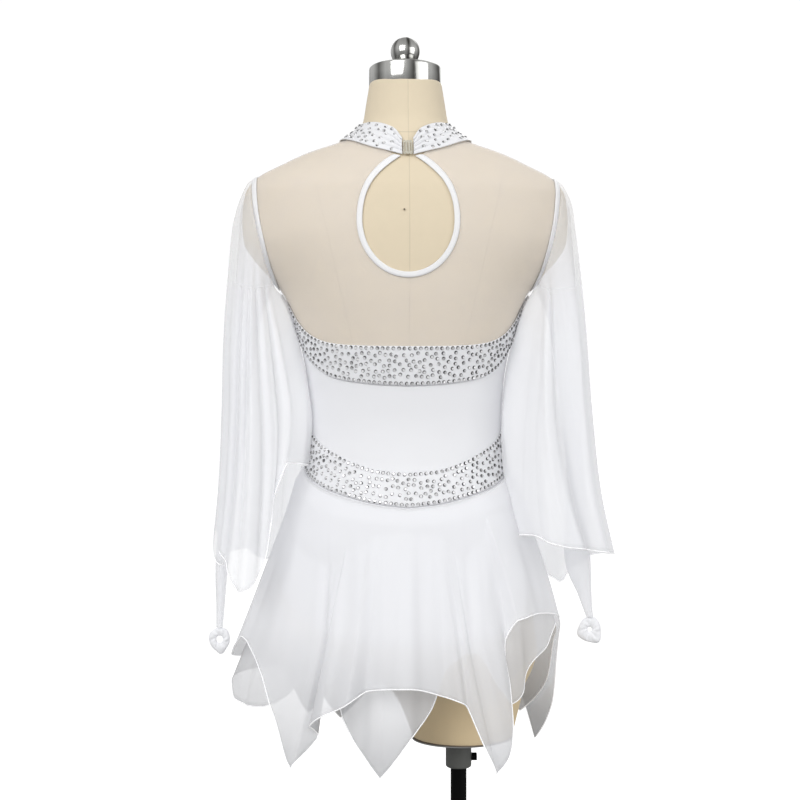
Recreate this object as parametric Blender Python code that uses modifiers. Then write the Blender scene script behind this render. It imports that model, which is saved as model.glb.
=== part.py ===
"""Figure skating dress on a limbless dress form, with the form's pole stand.

The back of the dress faces -Y and the wearer's right is +X. Z is up, and the
origin is the middle of the base's underside, on the pole's axis. The form
stands to one side of the pole, because the pole enters its only thigh.

Tables are in millimetres. In them, across is sideways from the form's middle
plane, depth is towards the front, and height is counted from the waist.
"""

import math
from collections import namedtuple

import bpy
from mathutils import Matrix, Vector

MM = 0.001
WAIST_Z = 1.050          # waist above the floor
FORM_X = -0.068          # the form's middle plane from the pole's axis
GAP = 0.0003             # between pieces that touch
SEAM = 0.0005            # between panels that are sewn edge to edge
SKIN = 0.0010            # from the form's skin to the close panels
CLEAR = 0.0006           # least gap under the middle of a panel's faces
CLOTH = 0.0010           # chiffon, mesh and stretch panels
BAND = 0.0016            # stoned bands, collar and elastic edges

# The form, a row for each level
Level = namedtuple("Level", "height centre width back front square")
FORM = [
    Level(449, 0, 46, 44, 48, 2.0),
    Level(425, 0, 50, 47, 51, 2.0),
    Level(397, 0, 55, 52, 56, 2.0),
    Level(382, 0, 65, 60, 60, 1.9),
    Level(372, 0, 82, 67, 62, 1.75),
    Level(357, 0, 128, 76, 66, 1.65),
    Level(342, 0, 160, 84, 70, 1.65),
    Level(329, 0, 185, 90, 75, 1.75),
    Level(318, 0, 198, 94, 79, 1.85),
    Level(303, 0, 205, 99, 83, 2.0),
    Level(271, 0, 208, 104, 93, 2.0),
    Level(245, 0, 206, 106, 101, 2.0),
    Level(221, 0, 192, 106, 108, 2.0),
    Level(205, 0, 177, 105, 113, 2.05),
    Level(182, 0, 157, 103, 119, 2.15),
    Level(155, 0, 144, 99, 122, 2.2),
    Level(133, 0, 137, 95, 118, 2.2),
    Level(109, 0, 131, 91, 110, 2.15),
    Level(77, 0, 125, 86, 101, 2.1),
    Level(45, 0, 122, 82, 96, 2.1),
    Level(13, 0, 121, 80, 94, 2.1),
    Level(-33, 0, 125, 84, 97, 2.1),
    Level(-70, 0, 134, 92, 100, 2.1),
    Level(-106, 0, 145, 100, 102, 2.15),
    Level(-150, 0, 156, 107, 102, 2.2),
    Level(-200, 0, 162, 110, 98, 2.2),
    Level(-240, 6, 158, 108, 94, 2.2),
    Level(-272, 28, 140, 101, 88, 2.15),
    Level(-298, 50, 112, 90, 82, 2.1),
    Level(-322, 65, 86, 79, 77, 2.0),
    Level(-345, 70, 76, 72, 73, 2.0),
    Level(-386, 73, 63, 63, 65, 2.0),
]
FORM_RINGS = [
    449, 420, 401, 394, 387, 379, 372, 365, 357, 349, 340, 331, 322, 312, 299,
    281, 262, 245, 230, 217, 205, 193, 180, 160, 138, 112, 82, 56, 32, 13, -8,
    -40, -80,
    -130, -185, -235, -266, -292, -318, -345, -386,
]
FORM_COLUMNS = 28

# The armhole seam, from the shoulder to the underarm
Seam = namedtuple("Seam", "height across")
ARMHOLE = [Seam(340, 192), Seam(326, 191), Seam(276, 186), Seam(238, 178),
           Seam(211, 171), Seam(189, 163), Seam(170, 156)]
BINDING = namedtuple("Binding", "foot top")(1.7, 2.7)    # half its width, mm
ARMHOLE_TOP = (300, 345)      # the shoulder point lies between these heights
ARMHOLE_FOOT = (172, 214)     # and the underarm point between these

# The keyhole's edges, an ellipse with a longer upper half that narrows to a point
KEYHOLE_HEIGHT = 260
Hole = namedtuple("Hole", "across down up reach point")
HOLE_INNER = Hole(55.5, 63.5, 82.5, 163, 0.55)
HOLE_OUTER = Hole(62.0, 70.0, 86.0, 160.5, 0.2)

# Edges of the bands, by the angle round the body from the centre back
Edge = namedtuple("Edge", "angle height")
BUST_TOP = [Edge(0, 108.5), Edge(15, 109), Edge(30, 110.5), Edge(45, 114.5),
            Edge(60, 125), Edge(75, 146), Edge(82, 163), Edge(90, 180.5),
            Edge(100, 172), Edge(120, 162), Edge(150, 150), Edge(180, 147)]
BUST_FOOT = [Edge(0, 59.5), Edge(15, 61), Edge(30, 64.5), Edge(45, 70),
             Edge(60, 83), Edge(75, 107), Edge(90, 131), Edge(105, 122),
             Edge(120, 113), Edge(150, 103), Edge(180, 100)]
WAIST_TOP = [Edge(0, -46), Edge(15, -43), Edge(30, -34), Edge(45, -22), Edge(60, -10),
             Edge(75, 4), Edge(90, 17), Edge(105, 6), Edge(135, -18), Edge(180, -40)]
WAIST_FOOT = [Edge(0, -89), Edge(15, -84.5), Edge(30, -77), Edge(45, -68.5),
              Edge(60, -58.5), Edge(75, -47), Edge(90, -37), Edge(105, -46),
              Edge(135, -64), Edge(180, -84)]
BRIEF_FOOT = [Edge(0, -258), Edge(35, -246), Edge(65, -205), Edge(90, -165),
              Edge(120, -205), Edge(150, -250), Edge(180, -262)]

# Columns that neighbours share, so that their edges run side by side
SIDE_GAP = 0.12               # degrees between a panel's end and the side seam
BACK_HALF = [0, 9, 18, 27, 36, 45, 53, 61, 68.5, 75, 81]
FRONT_HALF = [0, 12, 24, 36, 47, 57, 66, 74, 80]
ARM_STEP = 18                 # round the armhole
RIDGE_SHARES = [0.25, 0.5, 0.75]
RIDGE_GAP = 0.35              # degrees between the yokes at the shoulder
COLLAR_PLACES = [0, 1, 1.5, 2, 2.5, 3, 3.5, 4, 4.4, 4.8, 5.2, 5.6, 6, 6.5, 7]
COLLAR_SHOULDER = 4           # the collar's place at the shoulder
YOKE_END = 1.0                # and where the back yoke ends beside the keyhole
YOKE_SHIFT = -3.2             # the yokes' edge from the armhole seam
SLEEVE_SHIFT = 3.8            # and the sleeves' edge
BELL_SHIFT = 1.2              # and the bells', over the binding
YOKE_SHARES = [0, 0.27, 0.5, 0.69, 0.84, 0.94, 1]     # rows from the keyhole outwards
# The keyhole's turns that the back yoke's corners answer to
YOKE_TURN = namedtuple("YokeTurn", "underarm shoulder neck end")(74, 116, 147, 160.5)

# The clasp, in metres
CLASP = namedtuple("Clasp", "height width thick length round")(
    0.3505, 0.0118, 0.0032, 0.0210, 0.0012)

# The collar: its lower and upper edge at places from the clasp to the front
Wing = namedtuple("Wing", "front low_across low_height top_across top_height")
COLLAR = [
    Wing(False, 6.6, 340, 6.6, 362),
    Wing(False, 24, 345.5, 15, 376),
    Wing(False, 43, 351.5, 27, 384),
    Wing(False, 63, 360.5, 41, 389),
    Wing(False, 83.5, 371.4, 58, 391),
    Wing(True, 64, 362, 43, 386),
    Wing(True, 36, 345, 25, 374),
    Wing(True, 0, 338, 0, 368),
]

# Skirt hems: where each fold's end lies, seen from above, and how high
Fold = namedtuple("Fold", "across depth height")
UPPER_HEM = [
    Fold(-55, 168, -318), Fold(-95, 172, -352), Fold(-128, 165, -388),
    Fold(-150, 132, -345), Fold(-172, 112, -312), Fold(-205, 85, -296),
    Fold(-226, 42, -286), Fold(-214, -5, -262), Fold(-203, -40, -251),
    Fold(-180, -95, -282), Fold(-160, -130, -332), Fold(-138, -165, -385),
    Fold(-109, -147, -352), Fold(-117, -164, -337), Fold(-76, -185, -310),
    Fold(-50, -165, -297), Fold(-6, -188, -291), Fold(40, -166, -304),
    Fold(60, -174, -310), Fold(66, -166, -316), Fold(82, -184, -352),
    Fold(98, -198, -386), Fold(115, -180, -362), Fold(120, -140, -300),
    Fold(116, -112, -246), Fold(130, -118, -222), Fold(157, -92, -218),
    Fold(187, -40, -225), Fold(201, 10, -240), Fold(200, 52, -290),
    Fold(194, 72, -345), Fold(180, 98, -410), Fold(163, 104, -350),
    Fold(120, 140, -305), Fold(88, 172, -330), Fold(60, 160, -310),
    Fold(0, 180, -298),
]
LOWER_HEM = [
    Fold(-45, 150, -352), Fold(-85, 150, -392), Fold(-118, 118, -340),
    Fold(-160, 96, -310), Fold(-205, 68, -310), Fold(-226, 30, -315),
    Fold(-218, 2, -336), Fold(-200, -25, -339), Fold(-178, -62, -334),
    Fold(-150, -85, -318), Fold(-120, -112, -292), Fold(-86, -122, -298),
    Fold(-77, -140, -338), Fold(-35, -160, -399), Fold(-2, -152, -360),
    Fold(25, -140, -324), Fold(45, -136, -275), Fold(76, -130, -258),
    Fold(108, -118, -300), Fold(123, -112, -323), Fold(138, -95, -316),
    Fold(149, -70, -289), Fold(171, -45, -267), Fold(193, -8, -240),
    Fold(196, 30, -262), Fold(186, 60, -330), Fold(160, 92, -372),
    Fold(128, 108, -330), Fold(90, 135, -300), Fold(45, 150, -318),
    Fold(0, 160, -330),
]
SKIRT_SIDE, SKIRT_BACK, SKIRT_FRONT = 0.216, 0.186, 0.176    # the folds' mean radius
SKIRT_DROPS = [0, 0.030, 0.075]     # rows below the seam that both layers share
SKIRT_ROWS = 3                 # and from there to the hem
SKIRT_SPACING = 10.0          # widest angle between two columns, degrees
FOLD_APART = 2.6              # least angle between the two layers' own columns
BRIEF_OUT = 0.0010            # layers at the waist seam, out from the form's skin
LOWER_OUT = 0.0034
UPPER_OUT = 0.0052
LAYER_GAP = 0.0045            # between the skirt layers where they hang
EASE = 0.020                  # below the seam, where they reach their full gaps
HIP_GAP = 0.0085              # between the form and the lower layer where it hangs

# Sleeves, a row for each ring: its outer and inner end, and its depth each way
Ring = namedtuple("Ring", "out_across out_height in_across in_height back front square")
SLEEVE_UPPER = [
    Ring(203, 312, 172, 180, 54, 51, 2.0),
    Ring(208.5, 290, 178, 167, 58, 55, 2.0),
    Ring(211.5, 255, 185, 147, 57, 55, 2.0),
    Ring(215, 205, 190, 118, 53, 52, 2.1),
    Ring(221, 95, 200, 45, 44, 43, 2.2),
]
SLEEVE_LEFT = SLEEVE_UPPER + [
    Ring(227.5, -30, 212, -50, 33, 32, 2.2),
    Ring(241, -150, 225, -154, 21, 21, 2.1),
    Ring(241, -220, 231, -221, 9, 9, 2.0),
    Ring(241, -244.6, 233, -244.6, 6, 6, 2.0),
]
SLEEVE_RIGHT = SLEEVE_UPPER + [
    Ring(227.5, -30, 208, -50, 33, 32, 2.2),
    Ring(237, -150, 205, -156, 22, 21, 2.1),
    Ring(239, -204, 222, -205, 12, 12, 2.0),
    Ring(241, -234.4, 233, -234.4, 6, 6, 2.0),
]
BELL_RIGHT = [
    Ring(209, 317, 165, 174, 60, 57, 2.0),
    Ring(211.5, 296, 165, 160, 63, 60, 2.0),
    Ring(215, 265, 162, 140, 67, 63, 2.1),
    Ring(220, 212, 156, 108, 75, 66, 2.3),
    Ring(226, 130, 148, 60, 87, 69, 2.5),
    Ring(231, 35, 141, 0, 99, 73, 2.7),
    Ring(240, -68, 141, -72, 112, 79, 2.8),
    Ring(256, -151, 143, -124, 121, 84, 2.8),
]
BELL_LEFT = [
    Ring(209, 317, 165, 174, 60, 57, 2.0),
    Ring(211.5, 296, 165, 160, 63, 60, 2.0),
    Ring(215, 265, 161, 140, 66, 63, 2.1),
    Ring(220, 212, 154, 108, 72, 66, 2.3),
    Ring(227, 130, 145, 64, 82, 69, 2.4),
    Ring(230, 40, 138, 18, 91, 73, 2.5),
    Ring(233, -50, 139, -22, 100, 79, 2.5),
    Ring(239, -122, 143, -60, 107, 84, 2.5),
]
# Hem heights of the bells, round from the outer side by the back
RIGHT_HEM = [Edge(0, -151), Edge(45, -143), Edge(90, -136), Edge(140, -122),
             Edge(180, -128), Edge(215, -190), Edge(235, -198), Edge(262, -176),
             Edge(290, -176), Edge(325, -160), Edge(360, -151)]
LEFT_HEM = [Edge(0, -118), Edge(28, -160), Edge(50, -140), Edge(84, -187),
            Edge(108, -150), Edge(138, -40), Edge(180, -66), Edge(215, -118),
            Edge(262, -166), Edge(290, -150), Edge(325, -158), Edge(360, -118)]
# Folds of the bells: place round the ring, how far out, and half the width
Pleat = namedtuple("Pleat", "angle out spread")
RIGHT_PLEATS = [Pleat(12, 5, 13), Pleat(40, -8, 12), Pleat(62, 11, 12),
                Pleat(88, -11, 12), Pleat(112, 9, 12), Pleat(205, 6, 13),
                Pleat(229, -6, 12), Pleat(250, 12, 12), Pleat(276, -9, 13),
                Pleat(302, 9, 13), Pleat(330, -6, 12)]
LEFT_PLEATS = [Pleat(8, 4, 12), Pleat(36, -9, 11), Pleat(56, 9, 11),
               Pleat(84, 15, 14), Pleat(108, -7, 12), Pleat(134, 6, 12),
               Pleat(205, 9, 12), Pleat(230, -10, 12), Pleat(256, 12, 12),
               Pleat(284, -11, 12), Pleat(312, 10, 12), Pleat(332, -5, 11)]
FOLD_GROWTH = 1.9             # how late the folds grow down the bell
SLEEVE_COLUMNS = 20
BELL_COLUMNS = 36
SLEEVE_OUT = 0.0010           # at the armhole, out from the form's skin
BELL_OUT = 0.0046
BELL_CLEAR = 0.0060           # between a bell and the body or skirt it hangs over
LOOP = namedtuple("Loop", "ring cord stretch across left right")(
    8.6, 4.6, 1.2, 237, -260.0, -249.8)

# The stand
POLE_RADIUS = 0.01025
RUNNING = 0.00006             # least gap between the pole and what it turns or slides in
POLE_TOP = -0.225             # from the waist
BORE_RADIUS = 0.0120
BORE_TOP = -0.088
SOCKET = namedtuple("Socket", "radius top foot")(0.0165, -0.3885, -0.4250)
PLATE = namedtuple("Plate", "radius thick")(0.0600, 0.0015)
SCREW = namedtuple("Screw", "radius length height")(0.0050, 0.0065, -0.4120)
BASE = namedtuple("Base", "radius thick hub hub_height bore_foot")(
    0.190, 0.012, 0.026, 0.060, 0.006)
NECK_CAP = namedtuple("Cap", "radius height depth")(0.0455, 0.0210, 0.0020)
BALL = namedtuple("Ball", "radius centre stem")(0.0185, 0.4930, 0.0075)
ROUND_STEPS = 32
POLE_STEPS = 24


def smooth(rows, key, column, value):
    """A column of a table at a value of its key, on a curve with no overshoot."""
    keys = [getattr(row, key) for row in rows]
    data = [getattr(row, column) for row in rows]
    if keys[0] > keys[-1]:
        keys, data = keys[::-1], data[::-1]
    if value <= keys[0]:
        return data[0]
    if value >= keys[-1]:
        return data[-1]
    step = [b - a for a, b in zip(keys, keys[1:])]
    slope = [(b - a) / d for a, b, d in zip(data, data[1:], step)]

    def tangent(i):
        if i == 0 or i == len(keys) - 1:
            return slope[min(i, len(slope) - 1)]
        left, right = slope[i - 1], slope[i]
        if left * right <= 0:
            return 0.0
        return 2 * left * right / (left + right)

    i = max(k for k in range(len(step)) if keys[k] <= value)
    t = (value - keys[i]) / step[i]
    a, b = tangent(i) * step[i], tangent(i + 1) * step[i]
    return (data[i] * (1 + 2 * t) * (1 - t) ** 2 + a * t * (1 - t) ** 2
            + data[i + 1] * t * t * (3 - 2 * t) - b * t * t * (1 - t))


LEVELS = {}


def level(height):
    """The form's section at a height in metres, in metres."""
    key = round(height, 6)
    if key not in LEVELS:
        h = height / MM
        LEVELS[key] = Level(height, *(smooth(FORM, "height", c, h) * MM
                                      for c in ("centre", "width", "back", "front")),
                            smooth(FORM, "height", "square", h))
    return LEVELS[key]


def signed_power(value, power):
    return math.copysign(abs(value) ** power, value)


def skin(angle, height):
    """A point of the form's skin; angle runs from the centre back to the right."""
    at = level(height)
    s, c = math.sin(math.radians(angle)), math.cos(math.radians(angle))
    reach = at.back if c > 0 else at.front
    return Vector((at.centre + at.width * signed_power(s, 2 / at.square),
                   -reach * signed_power(c, 2 / at.square), height))


def body(angle, height, out=0.0):
    """A point at a distance out from the form's skin."""
    da, dh = 0.6, 0.0008
    round_it = skin(angle + da, height) - skin(angle - da, height)
    up = skin(angle, height + dh) - skin(angle, height - dh)
    return skin(angle, height) + round_it.cross(up).normalized() * out


def section_share(point):
    """1 on the form's skin, more outside it."""
    at = level(point.z)
    reach = at.back if point.y < 0 else at.front
    n = at.square
    return (abs((point.x - at.centre) / at.width) ** n + abs(point.y / reach) ** n) ** (1 / n)


def off_form(point):
    """How far a point lies out from the skin, and the way out."""
    d = 0.0004
    way = Vector([section_share(point + axis * d) - section_share(point - axis * d)
                  for axis in (Vector((1, 0, 0)), Vector((0, 1, 0)), Vector((0, 0, 1)))])
    way /= 2 * d
    return (section_share(point) - 1) / way.length, way.normalized()


def lifted(grid, closed=False):
    """The grid moved out where its faces would cut into the form."""
    columns, rows = len(grid), len(grid[0])
    for _ in range(3):
        need = {}
        for i in range(columns if closed else columns - 1):
            for j in range(rows - 1):
                k = (i + 1) % columns
                ring = [(i, j), (k, j), (k, j + 1), (i, j + 1)]
                tests = [ring] + [[ring[n], ring[(n + 1) % 4]] for n in range(4)]
                tests += [ring[::2], ring[1::2]]
                for test in tests:
                    middle = sum((grid[a][b] for a, b in test), Vector()) / len(test)
                    short = CLEAR - off_form(middle)[0]
                    for place in test:
                        need[place] = max(need.get(place, 0.0), short)
        for (a, b), short in need.items():
            if short > 0:
                grid[a][b] = grid[a][b] + off_form(grid[a][b])[1] * short
    return grid


def angle_at(across, height, front=False):
    """The angle at which the skin at a height lies so far across."""
    at = level(height)
    share = min(1.0, abs(across - at.centre) / at.width)
    angle = math.degrees(math.asin(share ** (at.square / 2)))
    return math.copysign(180 - angle if front else angle, across - at.centre or 1)


def form_radius(turn, height):
    """How far the skin lies from the form's middle line, towards a turn."""
    at = level(height)
    s, c = math.sin(math.radians(turn)), math.cos(math.radians(turn))
    width = at.width + max(0.0, math.copysign(at.centre, s * at.centre))
    reach = at.back if c > 0 else at.front
    n = at.square
    return ((abs(s) / width) ** n + (abs(c) / reach) ** n) ** (-1 / n)


def edge(rows, angle):
    """The height of an edge at an angle from the centre back, either way."""
    return smooth(rows, "angle", "height", abs(angle)) * MM


def span(start, end, count):
    return [start + (end - start) * i / count for i in range(count + 1)]


# Making objects

def material(name, colour, roughness, metallic=0.0):
    made = bpy.data.materials.new(name)
    made.use_nodes = True
    shader = made.node_tree.nodes["Principled BSDF"]
    shader.inputs["Base Color"].default_value = (*colour, 1.0)
    shader.inputs["Roughness"].default_value = roughness
    shader.inputs["Metallic"].default_value = metallic
    return made


def add(name, points, faces, finish, place=Matrix()):
    """A smooth mesh object from points in the form's own frame."""
    mesh = bpy.data.meshes.new(name)
    mesh.from_pydata([place @ p for p in points], [], faces)
    mesh.shade_smooth()
    mesh.materials.append(finish)
    made = bpy.data.objects.new(name, mesh)
    made.location = (FORM_X, 0, WAIST_Z)
    PARTS.objects.link(made)
    return made


def grid_faces(columns, rows, closed, flip):
    faces = []
    for i in range(columns if closed else columns - 1):
        k = (i + 1) % columns
        for j in range(rows - 1):
            quad = (i * rows + j, k * rows + j, k * rows + j + 1, i * rows + j + 1)
            faces.append(quad[::-1] if flip else quad)
    return faces


def cloth(name, grid, finish, thick=CLOTH, closed=False, flip=False):
    """A wall of cloth on a grid of points, a list of columns, thickened outwards."""
    rows = len(grid[0])
    points = [p for column in grid for p in column]
    made = add(name, points, grid_faces(len(grid), rows, closed, flip), finish)
    wall = made.modifiers.new("wall", "SOLIDIFY")
    wall.thickness = thick
    wall.offset = 1.0
    wall.use_even_offset = True
    return made


def half_to_whole(half, last, middle):
    """Angles both ways from the middle, ending beside the side seams."""
    side = half + [last]
    return [middle - a for a in reversed(side[1:])] + [middle + a for a in side]


def close_panel(name, foot, top, angles, rows, finish, thick=CLOTH):
    """A panel that lies on the form, between two edges."""
    grid = []
    for angle in angles:
        turn = angle if angle <= 180 else 360 - angle
        low, high = edge(foot, turn) + SEAM / 2, edge(top, turn) - SEAM / 2
        grid.append([body(angle, h, SKIN) for h in span(low, high, rows)])
    return cloth(name, lifted(grid), finish, thick)


def turned(name, profile, finish, place, steps=ROUND_STEPS, ring=False):
    """A solid turned round Z from a profile that runs down its outer side."""
    mesh = bpy.data.meshes.new(name)
    count = len(profile)
    joints = [(i, (i + 1) % count) for i in range(count if ring else count - 1)]
    mesh.from_pydata([(r, 0, z) for r, z in profile], joints, [])
    mesh.materials.append(finish)
    made = bpy.data.objects.new(name, mesh)
    made.location = place
    PARTS.objects.link(made)
    screw = made.modifiers.new("turn", "SCREW")
    screw.steps = screw.render_steps = steps
    screw.use_merge_vertices = True
    screw.merge_threshold = 0.00001
    return made


def arc(centre, radius, start, end, steps):
    """Points of an arc in the profile plane, angles from the axis's top, in degrees."""
    return [(centre[0] + radius * math.sin(math.radians(a)),
             centre[1] + radius * math.cos(math.radians(a)))
            for a in span(start, end, steps)]


# The form and its stand

def make_torso(finish):
    angles = [360 * i / FORM_COLUMNS for i in range(FORM_COLUMNS)]
    rings = [[skin(a, h * MM) for a in angles] for h in FORM_RINGS]
    foot = FORM_RINGS[-1] * MM
    for height in (foot, BORE_TOP):
        rings.append([Vector((-FORM_X + BORE_RADIUS * math.sin(math.radians(a)),
                              -BORE_RADIUS * math.cos(math.radians(a)), height))
                      for a in angles])
    grid = [[ring[i] for ring in rings] for i in range(FORM_COLUMNS)]
    count = len(rings)
    faces = grid_faces(FORM_COLUMNS, count, True, True)
    faces.append([i * count for i in range(FORM_COLUMNS)])
    faces.append([i * count + count - 1 for i in reversed(range(FORM_COLUMNS))])
    return add("torso", [p for column in grid for p in column], faces, finish)


def make_neck_hardware(chrome):
    low = FORM[0].height * MM + GAP
    high = low + NECK_CAP.height
    rim = 0.004
    place = Vector((FORM_X, NECK_CAP.depth, WAIST_Z))
    profile = [(0, high)]
    profile += arc((NECK_CAP.radius - rim, high - rim), rim, 0, 90, 2)
    profile += [(NECK_CAP.radius, low), (0, low)]
    turned("neck_cap", profile, chrome, place, 28)
    seat = math.degrees(math.asin(BALL.stem / BALL.radius))
    profile = arc((0, BALL.centre), BALL.radius, 0, 180 - seat, 7)
    profile += [(BALL.stem + 0.003, high + GAP), (0, high + GAP)]
    turned("finial", profile, chrome, place, 18)


def bore_for_pole(steps):
    """Radius at the corners of a bore whose flats just clear the pole."""
    return (POLE_RADIUS + RUNNING) / math.cos(math.pi / steps)


def make_stand(black, grey, steel):
    foot = WAIST_Z + FORM_RINGS[-1] * MM
    plate = [(BORE_RADIUS, 0), (PLATE.radius, 0), (PLATE.radius, -PLATE.thick),
             (BORE_RADIUS, -PLATE.thick)]
    turned("form_plate", plate, steel, (0, 0, foot - GAP), 24, ring=True)
    high, low = SOCKET.top, SOCKET.foot
    bore = bore_for_pole(POLE_STEPS)
    profile = [(bore, high), (SOCKET.radius, high)]
    profile += arc((SOCKET.radius - 0.003, low + 0.003), 0.003, 90, 180, 2)
    profile += [(bore, low)]
    turned("socket", profile, grey, (0, 0, WAIST_Z), POLE_STEPS, ring=True)
    start = SOCKET.radius + GAP
    bpy.ops.mesh.primitive_cylinder_add(
        vertices=20, radius=SCREW.radius, depth=SCREW.length,
        location=(start + SCREW.length / 2, 0, WAIST_Z + SCREW.height),
        rotation=(0, math.radians(90), 0))
    take("thumb_screw", black)
    pole_low = BASE.bore_foot + GAP
    pole_high = WAIST_Z + POLE_TOP
    turned("pole", [(0, pole_high), (POLE_RADIUS, pole_high), (POLE_RADIUS, pole_low),
                    (0, pole_low)], black, (0, 0, 0), POLE_STEPS)
    bore = bore_for_pole(ROUND_STEPS)
    profile = [(0, BASE.bore_foot), (bore, BASE.bore_foot), (bore, BASE.hub_height)]
    profile += arc((BASE.hub - 0.003, BASE.hub_height - 0.003), 0.003, 0, 90, 2)
    profile += [(BASE.hub + 0.004, BASE.thick + 0.010), (BASE.radius - 0.012, BASE.thick)]
    profile += [(BASE.radius - 0.003, BASE.thick - 0.003), (BASE.radius, BASE.thick - 0.007),
                (BASE.radius, 0), (0, 0)]
    turned("base", profile, black, (0, 0, 0))


def take(name, finish):
    """Names the primitive just added and moves it to the parts."""
    made = bpy.context.object
    made.name = name
    made.data.name = name
    made.data.materials.append(finish)
    for collection in list(made.users_collection):
        collection.objects.unlink(made)
    PARTS.objects.link(made)
    return made


# Close-fitting panels

def hole_point(hole, turn, grow=0.0):
    """A place on a keyhole edge, turned from its bottom; grow moves it outwards."""
    s, c = math.sin(math.radians(turn)), math.cos(math.radians(turn))
    down = hole.down if c > 0 else hole.up
    across = (hole.across + grow) * s * (1 - hole.point * max(0.0, -c) ** 4)
    return across * MM, (KEYHOLE_HEIGHT - (down + grow) * c) * MM


def seam_across(height):
    return smooth(ARMHOLE, "height", "across", height / MM) * MM


def on_back(across, height, out=SKIN):
    return body(angle_at(across, height), height, out)


def armhole_heights(shift):
    """Heights of the shoulder and underarm points of a line beside the seam."""
    found = []
    for low, high in (ARMHOLE_TOP, ARMHOLE_FOOT):
        inside_low = low == ARMHOLE_TOP[0]
        for _ in range(30):
            middle = (low + high) / 2
            across = smooth(ARMHOLE, "height", "across", middle) + shift
            inside = smooth(FORM, "height", "width", middle) > across
            if inside == inside_low:
                low = middle
            else:
                high = middle
        found.append(middle)
    return found


def armhole_place(shift, turn):
    """Angle and height on the form beside the armhole seam, turned from its top."""
    top, foot = armhole_heights(shift)
    height = (top + foot) / 2 + (top - foot) / 2 * math.cos(math.radians(turn))
    across = smooth(ARMHOLE, "height", "across", height) + shift
    return angle_at(across * MM, height * MM, turn % 360 > 180), height * MM


def collar_place(at):
    """Angles and heights of the collar's lower and upper edge at a place along it."""
    i = min(int(at), len(COLLAR) - 2)
    wing = Wing(*(a + (b - a) * (at - i) for a, b in zip(COLLAR[i], COLLAR[i + 1])))
    front = at > COLLAR_SHOULDER
    return [(angle_at(max(across, 0.001) * MM, height * MM, front), height * MM)
            for across, height in ((wing.low_across, wing.low_height),
                                   (wing.top_across, wing.top_height))]


def flat_place(angle, height):
    """A place on the form, given as how far across and how high."""
    return skin(angle, height).x, height


def ridge_height(share):
    """Height along the shoulder, from the armhole to the collar."""
    start = armhole_heights(YOKE_SHIFT)[0] * MM
    end = COLLAR[COLLAR_SHOULDER].low_height * MM - 2 * SEAM
    return start + (end - start) * share


def make_yoke_back(mesh_cloth):
    """A horseshoe round the keyhole, its columns from there to the outer edge."""
    turns = YOKE_TURN
    outer = []
    for angle in BACK_HALF:
        height = edge(BUST_TOP, angle) + SEAM / 2
        outer.append((turns.underarm * angle / 90, flat_place(angle, height)))
    steps = 180 // ARM_STEP
    for i in range(steps + 1):
        angle, height = armhole_place(YOKE_SHIFT, 180 - i * ARM_STEP)
        turn = turns.underarm + (turns.shoulder - turns.underarm) * i / steps
        outer.append((turn, flat_place(min(angle, 90 - RIDGE_GAP), height)))
    for share in RIDGE_SHARES + [1]:
        turn = turns.shoulder + (turns.neck - turns.shoulder) * share
        outer.append((turn, flat_place(90 - RIDGE_GAP, ridge_height(share))))
    neck = [at for at in COLLAR_PLACES if YOKE_END <= at < COLLAR_SHOULDER]
    for i, at in enumerate(reversed(neck)):
        angle, height = collar_place(at)[0]
        turn = turns.neck + (turns.end - turns.neck) * (i + 1) / len(neck)
        outer.append((turn, flat_place(angle, height - 2 * SEAM)))
    half = []
    for turn, far in outer:
        near = hole_point(HOLE_OUTER, turn, 0.4)
        half.append([[n + (f - n) * share for n, f in zip(near, far)]
                     for share in YOKE_SHARES])
    grid = [[on_back(-x, z) for x, z in column] for column in reversed(half[1:])]
    grid += [[on_back(x, z) for x, z in column] for column in half]
    cloth("back_yoke", lifted(grid), mesh_cloth, flip=True)


def make_keyhole_binding(elastic):
    grid = []
    for share in span(-1, 1, 34):
        inner = hole_point(HOLE_INNER, abs(share) * HOLE_INNER.reach)
        outer = hole_point(HOLE_OUTER, abs(share) * HOLE_OUTER.reach)
        side = math.copysign(1, share)
        grid.append([on_back(side * (inner[0] + (outer[0] - inner[0]) * s),
                             inner[1] + (outer[1] - inner[1]) * s) for s in (0, 1)])
    cloth("keyhole_binding", lifted(grid), elastic, BAND, flip=True)


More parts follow.
